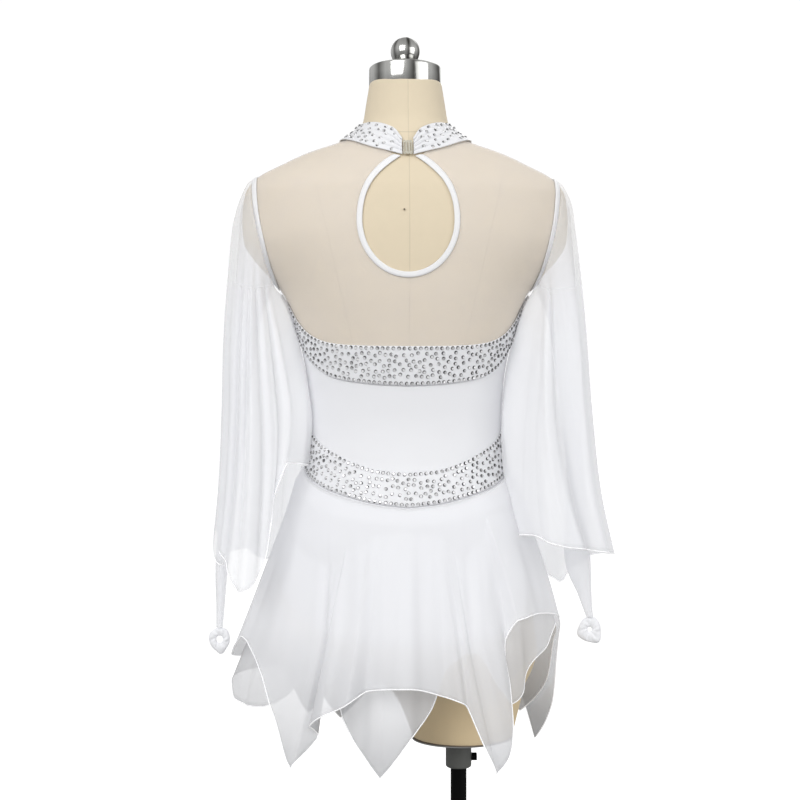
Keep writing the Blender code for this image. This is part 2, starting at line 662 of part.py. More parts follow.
def make_yoke_front(mesh_cloth):
    """The sheer front, from the bust band to the shoulders and the collar."""
    neck = [at for at in reversed(COLLAR_PLACES) if at > COLLAR_SHOULDER]
    tops = [(collar_place(at)[0][0], collar_place(at)[0][1] - 2 * SEAM) for at in neck]
    tops += [(90 + RIDGE_GAP, ridge_height(share)) for share in [1] + RIDGE_SHARES[::-1]]
    arm_angle, arm_top = armhole_place(YOKE_SHIFT, 0)
    tops.append((90 + RIDGE_GAP, arm_top))
    feet = [180 - a for a in FRONT_HALF] + [None]
    rows = 180 // ARM_STEP
    half = []
    for i, (angle, high) in enumerate(tops):
        place = i * (len(feet) - 1) / (len(tops) - 1)
        k = min(int(place), len(feet) - 2)
        arm_foot = armhole_place(YOKE_SHIFT, 180)[1]
        ends = []
        for foot in feet[k:k + 2]:
            foot_angle = 90 + RIDGE_GAP if foot is None else foot
            low = arm_foot if foot is None else edge(BUST_TOP, foot) + SEAM / 2
            ends.append((skin(foot_angle, low).x / seam_across(low), low))
        start = [a + (b - a) * (place - k) for a, b in zip(*ends)]
        end = (skin(angle, high).x / seam_across(high), high)
        column = []
        for j in range(rows + 1):
            share = (1 - math.cos(math.pi * j / rows)) / 2
            height = start[1] + (end[1] - start[1]) * share
            across = (start[0] + (end[0] - start[0]) * share) * seam_across(height)
            if i == len(tops) - 1:
                edge_angle, height = armhole_place(YOKE_SHIFT, 180 + j * ARM_STEP)
                across = skin(edge_angle, height).x
            column.append((max(across, 0.00001), height))
        half.append(column)
    grid = []
    for side, part in ((-1, half[:0:-1]), (1, half)):
        for column in part:
            grid.append([body(angle_at(side * x, z, True), z, SKIN) for x, z in column])
    cloth("front_yoke", lifted(grid), mesh_cloth, flip=True)


def make_collar(stretch):
    """One strip round the neck, open where the clasp draws its ends together."""
    half = [collar_place(at) for at in COLLAR_PLACES]
    grid = []
    for side, part in ((1, half), (-1, half[-2::-1])):
        for (low_angle, low), (top_angle, top) in part:
            grid.append([body(side * (low_angle + (top_angle - low_angle) * s),
                              low + (top - low) * s, SKIN) for s in (0, 0.5, 1)])
    cloth("collar", lifted(grid), stretch, BAND)


def make_clasp(clear):
    """Three upright rings side by side, in one piece."""
    middle = body(0, CLASP.height, SKIN)
    out = (middle - skin(0, CLASP.height)).normalized()
    tilt = math.atan2(out.z, -out.y)
    bpy.ops.mesh.primitive_cube_add(
        size=1, location=Vector((FORM_X, 0, WAIST_Z)) + middle + out * CLASP.thick / 2,
        rotation=(-tilt, 0, 0), scale=(CLASP.width, CLASP.thick, CLASP.length))
    bpy.ops.object.transform_apply(location=False, rotation=False, scale=True)
    made = take("clasp", clear)
    edge_round = made.modifiers.new("round", "BEVEL")
    edge_round.width = CLASP.round
    edge_round.segments = 2


def make_armhole_bindings(elastic):
    for name, side in (("armhole_binding_left", -1), ("armhole_binding_right", 1)):
        grid = []
        for turn in range(0, 360, ARM_STEP):
            half = BINDING.foot + (BINDING.top - BINDING.foot) * (
                1 + math.cos(math.radians(turn))) / 2
            column = []
            for shift in (-half, half):
                angle, height = armhole_place(shift, turn)
                column.append(body(side * angle, height, SKIN))
            grid.append(column)
        cloth(name, lifted(grid, True), elastic, BAND, closed=True, flip=side < 0)


def make_bands(stretch, matt):
    back = half_to_whole(BACK_HALF, 90 - SIDE_GAP, 0)
    front = half_to_whole(FRONT_HALF, 90 - SIDE_GAP, 180)
    close_panel("bust_band_back", BUST_FOOT, BUST_TOP, back, 2, stretch, BAND)
    close_panel("bust_band_front", BUST_FOOT, BUST_TOP, front, 2, stretch, BAND)
    close_panel("midriff_back", WAIST_TOP, BUST_FOOT, back, 3, matt)
    close_panel("bodice_front", WAIST_TOP, BUST_FOOT, front, 4, matt)
    close_panel("waist_band_back", WAIST_FOOT, WAIST_TOP, back, 2, stretch, BAND)
    close_panel("waist_band_front", WAIST_FOOT, WAIST_TOP, front, 2, stretch, BAND)


def make_brief(matt):
    grid = []
    for angle in [360 * i / 28 for i in range(28)]:
        turn = angle if angle <= 180 else 360 - angle
        top = edge(WAIST_FOOT, turn) - SEAM
        low = edge(BRIEF_FOOT, turn)
        grid.append([body(angle, h, BRIEF_OUT) for h in span(low, top, 5)])
    cloth("brief", lifted(grid, True), matt, closed=True)


# The skirt

def round_table(hem):
    """A hem's folds as rows of turn, radius and height, run on past both ends."""
    row = namedtuple("HemRow", "turn radius height")
    rows = []
    for fold in hem:
        turn = math.degrees(math.atan2(fold.across, -fold.depth))
        rows.append(row(turn, math.hypot(fold.across, fold.depth) * MM, fold.height * MM))
    rows.sort(key=lambda r: r.turn)
    before = [row(r.turn - 360, r.radius, r.height) for r in rows[-3:]]
    after = [row(r.turn + 360, r.radius, r.height) for r in rows[:3]]
    return before + rows + after


UPPER_ROWS = round_table(UPPER_HEM)
LOWER_ROWS = round_table(LOWER_HEM)


def skirt_turns():
    """A column for every fold of the upper layer and for most of the lower one's."""
    kept = [row.turn for row in UPPER_ROWS if -180 < row.turn <= 180]
    for row in LOWER_ROWS:
        if -180 < row.turn <= 180 and min(abs(row.turn - turn) for turn in kept) > FOLD_APART:
            kept.append(row.turn)
    kept.sort()
    turns = []
    for a, b in zip(kept, kept[1:] + [kept[0] + 360]):
        parts = max(1, math.ceil((b - a) / SKIRT_SPACING))
        turns += [a + (b - a) * i / parts for i in range(parts)]
    return turns


def waist_seam(turn):
    """Height of the waist band's lower edge towards a turn."""
    height = -0.065
    for _ in range(6):
        at = level(height)
        across = form_radius(turn, height) * abs(math.sin(math.radians(turn)))
        angle = math.degrees(math.asin(min(1.0, across / at.width) ** (at.square / 2)))
        back = math.cos(math.radians(turn)) > 0
        height = edge(WAIST_FOOT, angle if back else 180 - angle)
    return height


def hang(rows, turn, height, out):
    """Radius of a layer towards a turn: a cone from the waist, then its folds."""
    top = waist_seam(turn)
    start = form_radius(turn, top) + out
    end = smooth(rows, "turn", "radius", turn)
    hem = smooth(rows, "turn", "height", turn)
    s, c = abs(math.sin(math.radians(turn))), math.cos(math.radians(turn))
    mean = SKIRT_SIDE * s * s + (SKIRT_BACK if c > 0 else SKIRT_FRONT) * c * c
    t = max(0.0, (top - height) / (top - hem))
    return start + (mean - start) * t + (end - mean) * t * t


def clear_of_form(radius, turn, height, out):
    top = waist_seam(turn)
    ease = min(1.0, max(0.0, (top - height) / EASE))
    return max(radius, form_radius(turn, height) + out + (HIP_GAP - LOWER_OUT) * ease)


def lower_radius(turn, height):
    """The lower layer, held between the form and the upper layer."""
    radius = hang(LOWER_ROWS, turn, height, LOWER_OUT)
    if height > smooth(UPPER_ROWS, "turn", "height", turn) - 0.03:
        top = waist_seam(turn)
        ease = min(1.0, max(0.0, (top - height) / EASE))
        gap = (UPPER_OUT - LOWER_OUT) + (LAYER_GAP - UPPER_OUT + LOWER_OUT) * ease
        radius = min(radius, hang(UPPER_ROWS, turn, height, UPPER_OUT) - gap)
    return clear_of_form(radius, turn, height, LOWER_OUT)


def upper_radius(turn, height):
    radius = hang(UPPER_ROWS, turn, height, UPPER_OUT)
    return max(radius, lower_radius(turn, height) + UPPER_OUT - LOWER_OUT)


def make_skirt(chiffon):
    turns = skirt_turns()
    for name, rows, radius in (("skirt_lower", LOWER_ROWS, lower_radius),
                               ("skirt_upper", UPPER_ROWS, upper_radius)):
        grid = []
        for turn in turns:
            top = waist_seam(turn) - 0.0008
            hem = smooth(rows, "turn", "height", turn)
            s, c = math.sin(math.radians(turn)), math.cos(math.radians(turn))
            column = []
            shared = [top - drop for drop in SKIRT_DROPS]
            for height in span(hem, shared.pop(), SKIRT_ROWS) + shared[::-1]:
                r = radius(turn, height)
                column.append(Vector((r * s, -r * c, height)))
            grid.append(column)
        cloth(name, grid, chiffon, closed=True)


# Sleeves

def ring_point(ring, turn):
    """A point of a sleeve ring, turned from its outer end by the back."""
    s, c = math.sin(math.radians(turn)), math.cos(math.radians(turn))
    outer = Vector((ring.out_across, 0, ring.out_height))
    inner = Vector((ring.in_across, 0, ring.in_height))
    reach = ring.back if s > 0 else ring.front
    point = (outer + inner) / 2 + (outer - inner) / 2 * signed_power(c, 2 / ring.square)
    return (point + Vector((0, -reach * signed_power(s, 2 / ring.square), 0))) * MM


def outer_edge_radius(turn, height):
    """The outside of body and skirt towards a turn."""
    top = waist_seam(turn)
    if height > top:
        return form_radius(turn, height) + SKIN + BAND
    return upper_radius(turn, max(height, -0.24)) + CLOTH


def clear_of_body(point):
    """The point, moved out where it would come too near the body or the skirt."""
    turn = math.degrees(math.atan2(point.x, -point.y))
    near = outer_edge_radius(turn, point.z) + BELL_CLEAR
    radius = math.hypot(point.x, point.y)
    if radius >= near or point.z > 0.165:
        return point
    return Vector((point.x / radius * near, point.y / radius * near, point.z))


def pleated(point, pleats, turn, share):
    """The point moved out or in by the folds there, which grow towards the hem."""
    out = 0.0
    for pleat in pleats:
        away = (turn - pleat.angle + 180) % 360 - 180
        out += pleat.out * MM * math.exp(-(away / pleat.spread) ** 2)
    s, c = math.sin(math.radians(turn)), math.cos(math.radians(turn))
    return point + Vector((c, -s, 0)) * out * share ** FOLD_GROWTH


def sleeve_grid(rings, count, shift, out, side, hem=None, pleats=()):
    grid = []
    for i in range(count):
        turn = 360 * i / count
        angle, height = armhole_place(shift, turn)
        column = [body(angle, height, out)]
        for j, ring in enumerate(rings):
            point = ring_point(ring, turn)
            share = (j + 1) / len(rings)
            if hem:
                last = ring_point(rings[-1], turn).z
                ease = share ** 3
                point.z += (smooth(hem, "angle", "height", turn) * MM - last) * ease
                point = clear_of_body(pleated(point, pleats, turn, share))
            column.append(point)
        grid.append([Vector((side * p.x, p.y, p.z)) for p in column])
    return grid


def make_sleeves(chiffon):
    for side, tag, close, rings, hem, pleats, loop_height in (
            (-1, "left", SLEEVE_LEFT, BELL_LEFT, LEFT_HEM, LEFT_PLEATS, LOOP.left),
            (1, "right", SLEEVE_RIGHT, BELL_RIGHT, RIGHT_HEM, RIGHT_PLEATS, LOOP.right)):
        inner = sleeve_grid(close, SLEEVE_COLUMNS, SLEEVE_SHIFT, SLEEVE_OUT, side)
        cloth("sleeve_" + tag, inner, chiffon, closed=True, flip=side < 0)
        outer = sleeve_grid(rings, BELL_COLUMNS, BELL_SHIFT, BELL_OUT, side, hem, pleats)
        cloth("bell_" + tag, outer, chiffon, closed=True, flip=side < 0)
        bpy.ops.mesh.primitive_torus_add(
            major_segments=16, minor_segments=6, major_radius=LOOP.ring * MM,
            minor_radius=LOOP.cord * MM, rotation=(math.radians(90), 0, 0),
            location=(FORM_X + side * LOOP.across * MM, 0, WAIST_Z + loop_height * MM))
        loop = take("finger_loop_" + tag, chiffon)
        loop.scale.y = LOOP.stretch
        bpy.ops.object.transform_apply(location=False, rotation=False, scale=True)


def start_clean():
    for old in list(bpy.data.objects):
        bpy.data.objects.remove(old, do_unlink=True)
    parts = bpy.data.collections.new("figure_skating_dress")
    bpy.context.scene.collection.children.link(parts)
    return parts


PARTS = start_clean()


def main():
    linen = material("form_cloth", (0.72, 0.64, 0.49), 0.85)
    chrome = material("chrome", (0.75, 0.76, 0.78), 0.12, 1.0)
    grey = material("socket_grey", (0.28, 0.29, 0.30), 0.45, 0.6)
    steel = material("plate_steel", (0.60, 0.60, 0.60), 0.35, 0.8)
    black = material("stand_black", (0.02, 0.02, 0.02), 0.45)
    clear = material("clear_clasp", (0.85, 0.85, 0.80), 0.15)
    mesh_cloth = material("sheer_mesh", (0.86, 0.83, 0.77), 0.75)
    chiffon = material("white_chiffon", (0.88, 0.88, 0.89), 0.70)
    stretch = material("white_stretch", (0.85, 0.85, 0.88), 0.50)
    matt = material("matt_stretch", (0.84, 0.84, 0.87), 0.55)
    elastic = material("white_elastic", (0.87, 0.87, 0.90), 0.60)

    make_torso(linen)
    make_neck_hardware(chrome)
    make_stand(black, grey, steel)
    make_yoke_back(mesh_cloth)
    make_yoke_front(mesh_cloth)
    make_keyhole_binding(elastic)
    make_collar(stretch)
    make_clasp(clear)
    make_armhole_bindings(elastic)
    make_bands(stretch, matt)
    make_brief(matt)
    make_skirt(chiffon)
    make_sleeves(chiffon)


main()
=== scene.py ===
"""Looks of the figure skating dress on its dress form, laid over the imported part.

Tables are in millimetres, and most are the part's own. In them, across is sideways
from the form's middle plane, depth is towards the front, and height is from the waist.
"""

import bisect
import math
import random
from collections import namedtuple
from functools import lru_cache

import bmesh
import bpy
from bpy.props import FloatProperty, FloatVectorProperty, IntProperty, PointerProperty
from mathutils import Matrix, Vector


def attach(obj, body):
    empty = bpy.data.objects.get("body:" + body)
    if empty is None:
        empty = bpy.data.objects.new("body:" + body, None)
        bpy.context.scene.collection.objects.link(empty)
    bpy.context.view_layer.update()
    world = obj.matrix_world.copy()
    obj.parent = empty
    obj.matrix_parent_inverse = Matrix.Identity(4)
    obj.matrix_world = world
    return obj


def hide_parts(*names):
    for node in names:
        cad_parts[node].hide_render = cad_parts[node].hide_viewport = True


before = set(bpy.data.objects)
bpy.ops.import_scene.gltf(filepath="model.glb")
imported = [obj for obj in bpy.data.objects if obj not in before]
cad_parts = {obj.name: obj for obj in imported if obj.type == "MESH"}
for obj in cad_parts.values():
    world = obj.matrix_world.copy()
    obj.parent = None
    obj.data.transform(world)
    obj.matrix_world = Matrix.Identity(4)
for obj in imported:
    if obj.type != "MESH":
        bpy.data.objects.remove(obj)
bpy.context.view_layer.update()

bl_info = {
    "name": "Figure skating dress",
    "version": (1, 0, 0),
    "blender": (4, 5, 0),
    "location": "3D View > Sidebar > Dress",
    "description": "Dresses the packed part with cloth, stones, form and stand",
    "category": "Object",
}

MM = 0.001
WAIST_Z = 1.050  # the waist above the floor, in metres
FORM_X = -0.068  # the form's middle plane beside the pole, in metres


def table(kind, rows):
    return [kind(*row) for row in rows]


# The form, a row for each level
Level = namedtuple("Level", "height centre width back front square")
FORM = table(Level, [
    (449, 0, 46, 44, 48, 2.0),
    (425, 0, 50, 47, 51, 2.0),
    (397, 0, 55, 52, 56, 2.0),
    (382, 0, 65, 60, 60, 1.9),
    (372, 0, 82, 67, 62, 1.75),
    (357, 0, 128, 76, 66, 1.65),
    (342, 0, 160, 84, 70, 1.65),
    (329, 0, 185, 90, 75, 1.75),
    (318, 0, 198, 94, 79, 1.85),
    (303, 0, 205, 99, 83, 2.0),
    (271, 0, 208, 104, 93, 2.0),
    (245, 0, 206, 106, 101, 2.0),
    (221, 0, 192, 106, 108, 2.0),
    (205, 0, 177, 105, 113, 2.05),
    (182, 0, 157, 103, 119, 2.15),
    (155, 0, 144, 99, 122, 2.2),
    (133, 0, 137, 95, 118, 2.2),
    (109, 0, 131, 91, 110, 2.15),
    (77, 0, 125, 86, 101, 2.1),
    (45, 0, 122, 82, 96, 2.1),
    (13, 0, 121, 80, 94, 2.1),
    (-33, 0, 125, 84, 97, 2.1),
    (-70, 0, 134, 92, 100, 2.1),
    (-106, 0, 145, 100, 102, 2.15),
    (-150, 0, 156, 107, 102, 2.2),
    (-200, 0, 162, 110, 98, 2.2),
    (-240, 6, 158, 108, 94, 2.2),
    (-272, 28, 140, 101, 88, 2.15),
    (-298, 50, 112, 90, 82, 2.1),
    (-322, 65, 86, 79, 77, 2.0),
    (-345, 70, 76, 72, 73, 2.0),
    (-386, 73, 63, 63, 65, 2.0),
])

# The armhole seam, from the shoulder to the underarm
Seam = namedtuple("Seam", "height across")
ARMHOLE = table(Seam, [
    (340, 192), (326, 191), (276, 186), (238, 178), (211, 171), (189, 163), (170, 156),
])
ARMHOLE_TOP = (300, 345)  # the shoulder point lies between these heights
ARMHOLE_FOOT = (172, 214)  # and the underarm point between these
HALVINGS = 30  # by which the points are found

# The keyhole's edges, an ellipse with a longer upper half that narrows to a point
KEYHOLE_HEIGHT = 260
Hole = namedtuple("Hole", "across down up reach point")
HOLE_INNER = Hole(55.5, 63.5, 82.5, 163, 0.55)
HOLE_OUTER = Hole(62.0, 70.0, 86.0, 160.5, 0.2)

# Edges of the bands, by the angle round the body from the centre back
Edge = namedtuple("Edge", "angle height")
BUST_TOP = table(Edge, [
    (0, 108.5), (15, 109), (30, 110.5), (45, 114.5), (60, 125), (75, 146), (82, 163),
    (90, 180.5), (100, 172), (120, 162), (150, 150), (180, 147),
])
BUST_FOOT = table(Edge, [
    (0, 59.5), (15, 61), (30, 64.5), (45, 70), (60, 83), (75, 107), (90, 131), (105, 122),
    (120, 113), (150, 103), (180, 100),
])
WAIST_TOP = table(Edge, [
    (0, -46), (15, -43), (30, -34), (45, -22), (60, -10), (75, 4), (90, 17), (105, 6),
    (135, -18), (180, -40),
])
WAIST_FOOT = table(Edge, [
    (0, -89), (15, -84.5), (30, -77), (45, -68.5), (60, -58.5), (75, -47), (90, -37),
    (105, -46), (135, -64), (180, -84),
])
BRIEF_FOOT = table(Edge, [
    (0, -258), (35, -246), (65, -205), (90, -165), (120, -205), (150, -250), (180, -262),
])

# The collar: its lower and upper edge at places from the clasp to the front
Wing = namedtuple("Wing", "low_across low_height top_across top_height")
COLLAR = table(Wing, [
    (6.6, 340, 6.6, 362), (24, 345.5, 15, 376), (43, 351.5, 27, 384), (63, 360.5, 41, 389),
    (83.5, 371.4, 58, 391), (64, 362, 43, 386), (36, 345, 25, 374), (0, 338, 0, 368),
])

# Skirt hems: where each fold's end lies, seen from above, and how high
Fold = namedtuple("Fold", "across depth height")
UPPER_HEM = table(Fold, [
    (-55, 168, -318), (-95, 172, -352), (-128, 165, -388), (-150, 132, -345),
    (-172, 112, -312), (-205, 85, -296), (-226, 42, -286), (-214, -5, -262),
    (-203, -40, -251), (-180, -95, -282), (-160, -130, -332), (-138, -165, -385),
    (-109, -147, -352), (-117, -164, -337), (-76, -185, -310), (-50, -165, -297),
    (-6, -188, -291), (40, -166, -304), (60, -174, -310), (66, -166, -316), (82, -184, -352),
    (98, -198, -386), (115, -180, -362), (120, -140, -300), (116, -112, -246),
    (130, -118, -222), (157, -92, -218), (187, -40, -225), (201, 10, -240), (200, 52, -290),
    (197, 69, -358), (180, 96, -410), (163, 104, -350), (120, 140, -305), (88, 172, -330),
    (60, 160, -310), (0, 180, -298),
])
LOWER_HEM = table(Fold, [
    (-45, 150, -352), (-85, 150, -392), (-118, 118, -340), (-160, 96, -310), (-205, 68, -310),
    (-226, 30, -315), (-218, 2, -336), (-200, -25, -339), (-178, -62, -334),
    (-150, -85, -318), (-120, -112, -292), (-86, -122, -298), (-77, -140, -338),
    (-35, -160, -399), (-2, -152, -360), (25, -140, -324), (45, -136, -275), (76, -130, -258),
    (108, -118, -300), (123, -112, -323), (138, -95, -316), (149, -70, -289),
    (171, -45, -267), (193, -8, -240), (196, 30, -262), (186, 60, -330), (160, 92, -372),
    (128, 108, -330), (90, 135, -300), (45, 150, -318), (0, 160, -330),
])
# The folds' mean radius, in metres
SKIRT_SIDE, SKIRT_BACK, SKIRT_FRONT = 0.216, 0.186, 0.176

# Sleeves, a row for each ring: its outer and inner end, and its depth each way
Ring = namedtuple("Ring", "out_across out_height in_across in_height back front square")
SLEEVE_UPPER = table(Ring, [
    (199, 314, 172, 180, 54, 51, 2.0), (208.5, 290, 178, 167, 58, 55, 2.0),
    (211.5, 255, 185, 147, 57, 55, 2.0), (215, 205, 190, 118, 53, 52, 2.1),
    (221, 95, 200, 45, 44, 43, 2.2),
])
SLEEVE_LEFT = SLEEVE_UPPER + table(Ring, [
    (227.5, -30, 212, -50, 33, 32, 2.2), (241, -150, 225, -154, 21, 21, 2.1),
    (241, -220, 231, -221, 9, 9, 2.0), (241, -244.6, 233, -244.6, 6, 6, 2.0),
])
SLEEVE_RIGHT = SLEEVE_UPPER + table(Ring, [
    (227.5, -30, 208, -50, 33, 32, 2.2), (237, -150, 205, -156, 22, 21, 2.1),
    (239, -204, 222, -205, 12, 12, 2.0), (241, -234.4, 233, -234.4, 6, 6, 2.0),
])
BELL_RIGHT = table(Ring, [
    (202, 318, 165, 174, 60, 57, 2.0), (211.5, 296, 165, 160, 63, 60, 2.0),
    (215, 265, 162, 140, 67, 63, 2.1), (220, 212, 156, 108, 75, 66, 2.3),
    (226, 130, 148, 60, 87, 69, 2.5), (231, 35, 141, 0, 99, 73, 2.7),
    (240, -68, 141, -72, 112, 79, 2.8), (256, -151, 143, -124, 121, 84, 2.8),
])
BELL_LEFT = table(Ring, [
    (202, 318, 165, 174, 60, 57, 2.0), (211.5, 296, 165, 160, 63, 60, 2.0),
    (219, 265, 161, 140, 66, 63, 2.1), (223.5, 212, 154, 108, 72, 66, 2.3),
    (228.5, 130, 145, 64, 82, 69, 2.4), (230, 40, 138, 18, 91, 73, 2.5),
    (233, -50, 139, -22, 100, 79, 2.5), (239, -122, 143, -60, 107, 84, 2.5),
])
# Hem heights of the bells, round from the outer side by the back
RIGHT_HEM = table(Edge, [
    (0, -151), (45, -143), (90, -136), (140, -122), (180, -128), (212, -190), (228, -204),
    (240, -187), (252, -206), (264, -184), (276, -196), (292, -176), (325, -160), (360, -151),
])
LEFT_HEM = table(Edge, [
    (0, -118), (28, -160), (50, -140), (84, -187), (108, -150), (138, -34), (180, -40),
    (215, -118), (262, -166), (290, -150), (325, -158), (360, -118),
])
# Folds of the bells: place round the ring, how far out, and half the width
Pleat = namedtuple("Pleat", "angle out spread")
RIGHT_PLEATS = table(Pleat, [
    (12, 5, 13), (40, -8, 12), (62, 11, 12), (88, -11, 12), (112, 9, 12), (205, 6, 13),
    (229, -6, 12), (250, 12, 12), (276, -9, 13), (302, 9, 13), (330, -6, 12),
])
LEFT_PLEATS = table(Pleat, [
    (8, 4, 12), (36, -9, 11), (56, 9, 11), (84, 15, 14), (108, -7, 12), (134, 6, 12),
    (205, 9, 12), (230, -10, 12), (256, 12, 12), (284, -11, 12), (312, 10, 12), (332, -5, 11),
])
FOLD_GROWTH = 1.9  # how late the folds grow down the bell

# The layers' ways out from the form's skin, in metres
SKIN_OUT = 0.0012  # close panels
BAND_OUT = 0.0022  # bands and elastic edges
EDGE_RISE = 0.0004  # from the close panels to the elastic on them
SKIRT_LOW_OUT = 0.0024  # the lower skirt layer at the waist
SKIRT_TOP_OUT = 0.0036  # the upper skirt layer at the waist
LAYER_GAP = 0.0048  # between the skirt layers where they hang
HIP_GAP = 0.0090  # between the form and the lower layer where it hangs
EASE = 0.020  # the height below the waist over which both gaps grow
FREE_BELOW = 0.045  # so far below the upper hem the lower layer hangs quite free
FREE_OVER = 0.03  # the drop over which it comes free
# How much of its flat rectangle a cut fills
SKIRT_CUT = 0.56
BELL_CUT = 0.72
HEM_POINT = 0.85  # how sharp the skirt's tips are, up to 1
BELL_CLEAR = 0.0022  # between a bell and the body or skirt it hangs over
BELL_SPARE = 0.001  # as much more beside the body
BELL_FREE = 0.235  # above this height a bell isn't held off
BELL_FREE_OVER = 0.045  # the drop over which it comes to be held off
BELL_FOOT = -0.24  # below this height the skirt's radius here serves
BAND_CROWN = 0.0005  # the crown of bands and armhole strips
EDGE_CROWN = 0.0007  # the crown of the keyhole's elastic and the collar
COLLAR_RISE = 0.0010  # from the bands' way out to the collar's
UNDER = 0.0025  # how far a panel runs under a band
SEAM_GAP = 0.0004  # between panels that meet at a seam
WAIST_DROP = 0.0006  # from the waist band down to the skirt's top
STRIP_HALF = 2.3  # half the armhole strip's width at the underarm, mm
STRIP_WIDER = 1.0  # as much more at the shoulder
STRIP_WALL = 0.0007  # the armhole strip's thickness
SLEEVE_OUT = 0.0012  # a sleeve's first points, at its seam
BELL_OUT = 0.0030  # a bell's first points, at its seam
SLEEVE_EDGE, BELL_EDGE, YOKE_EDGE = 3.6, 3.1, -2.6  # from the armhole seam, mm

# Where the yokes end
SIDE_END, FRONT_END = 81, 80  # angles of their lower edges' ends, back and front
RIDGE_GAP = 0.35  # angle from the shoulder line to either yoke
RIDGE_DROP = 0.0008  # the shoulder's line ends so far under the collar
COLLAR_SHOULDER = 4  # the collar's row at the shoulder line
KEYHOLE_UNDER = -1.5  # how far the net runs under the keyhole's elastic, mm
# Turns from the keyhole's bottom at which the back yoke's outer edge has its corners
YOKE_TURN = namedtuple("YokeTurn", "underarm shoulder neck end")(74, 116, 147, 160.5)

# How finely the pieces are meshed
Steps = namedtuple("Steps", "round along")
COVER_STEPS = Steps(144, 150)
BRIEF_STEPS = Steps(160, 30)
PANEL_STEPS = Steps(150, 30)
BAND_STEPS = Steps(150, 18)
STRIP_STEPS = Steps(150, 6)
KEYHOLE_STEPS = Steps(220, 8)
COLLAR_STEPS = Steps(150, 30)
SKIRT_STEPS = Steps(820, 46)
SLEEVE_STEPS = Steps(84, 90)
BELL_STEPS = Steps(270, 84)
LOOP_STEPS = Steps(72, 24)
YOKE_STEPS = namedtuple("YokeSteps", "band arm shoulder collar back_rows front_rows")(
    30, 36, 12, 24, 40, 36)

# Soft creases of the skirt: towards which turn, how far out, half the width, and
# the height at which each is full
Crease = namedtuple("Crease", "turn out spread full")
SKIRT_CREASES = table(Crease, [
    (-172, 2.2, 5, -240), (-158, -3, 4, -250), (-141, 2.6, 5, -210), (-127, -2.2, 4, -260),
    (-112, 2.8, 4, -220), (-97, -2.4, 4, -250), (-80, 2.4, 4, -210), (-66, -1.0, 3.4, -200),
    (-54, 0.8, 3, -240), (-41, 1.5, 2.4, -250), (-36.5, -3.4, 0.7, -270),
    (-32.5, 2.2, 2.6, -240), (-27, -1.0, 3.0, -210), (-19.5, -1.7, 2.6, -230),
    (-12, 1.6, 3.4, -230), (-4, 0.8, 3.0, -250), (3.6, -1.8, 2.6, -225), (11, 1.4, 3.2, -220),
    (18, -0.8, 2.8, -240), (26, -2.2, 1.8, -260), (31, 2.2, 2.4, -240), (41, -1.4, 3.0, -200),
    (50, 1.8, 3.4, -230), (62, -2.0, 3.2, -190), (76, 2.6, 4, -220), (90, -2.4, 4, -240),
    (106, 2.2, 4, -250), (121, -2.8, 4, -220), (137, 2.2, 5, -210), (150, -2.0, 4, -250),
    (165, 2.6, 5, -230),
])
SKIRT_LEAN = 0.34  # how far the back creases spread towards the waist
SKIRT_BACK_END = 60  # the turn up to which they do
# The push, in metres or mm, at which a crease's dip counts as full; the shade painted into a
# crease is deepest there
SKIRT_DIP, FINE_DIP, PLEAT_DIP, COLLAR_DIP = 0.0065, 6.5, 26, 1.3
# Fine creases of the bells: place round the ring, how far out, half the width,
# the share of the length at which each is full, and how far up round it leans
Fine = namedtuple("Fine", "angle out spread full lean", defaults=(0,))
BELL_CREASES = table(Fine, [
    (18, 1.0, 9, 0.7), (146, -1.6, 9, 0.9), (178, 24, 26, 0.26), (218, 1.2, 6, 0.7),
    (240, -1.4, 6, 0.9), (263, 1.2, 6, 0.8), (289, 1.4, 6, 0.9), (318, -1.4, 7, 0.7),
    (345, 1.0, 7, 0.8),
])
RIGHT_CREASES = table(Fine, [
    (79, -6.0, 3.6, 0.7, 56), (90, 6.0, 6.0, 0.8, 56), (64, 2.0, 6.0, 0.8, 50),
    (34, -1.8, 7.0, 0.6, 40), (122, -1.4, 7.0, 0.7), (208, 3.0, 5.0, 1.0),
    (219, -4.0, 4.5, 1.0), (229, 4.5, 4.5, 1.0), (240, -4.0, 5.0, 1.0), (251, 4.0, 5.0, 1.0),
])
LEFT_CREASES = table(Fine, [
    (61, -4.5, 3.6, 0.8, 16), (70, 2.6, 4.0, 0.8, 12), (78, -5.0, 3.2, 0.8, 10),
    (87, 3.4, 4.0, 0.8), (96, -6.0, 3.6, 0.9), (108, 5.0, 6.0, 0.8), (124, -6.5, 4.0, 0.7),
    (136, 2.4, 5.0, 0.8),
])
# Points of the finger loops' soft petals: side, where round, how far out, half the width
LoopPoint = namedtuple("LoopPoint", "side angle out spread")
LOOP_POINTS = table(LoopPoint, [
    (-1, 172, 0.42, 22), (-1, 40, 0.12, 30), (-1, 300, 0.10, 30), (1, 140, 0.45, 24),
    (1, 250, 0.26, 24), (1, 20, 0.10, 30),
])
# Gathers of the collar: where across the strip, how deep in mm, and how far they run
Gather = namedtuple("Gather", "across out spread reach")
COLLAR_RUN = 19.0  # mm along the collar from one row of its table to the next
GATHER_POWER = 1.6  # how sharply a gather ends
COLLAR_GATHERS = table(Gather, [
    (0.10, 1.0, 0.05, 34), (0.20, -1.4, 0.035, 28), (0.31, 1.5, 0.045, 44),
    (0.42, -1.5, 0.035, 34), (0.52, 1.5, 0.045, 48), (0.63, -1.5, 0.035, 34),
    (0.74, 1.4, 0.045, 40), (0.85, -1.2, 0.035, 26), (0.93, 0.9, 0.04, 32),
])

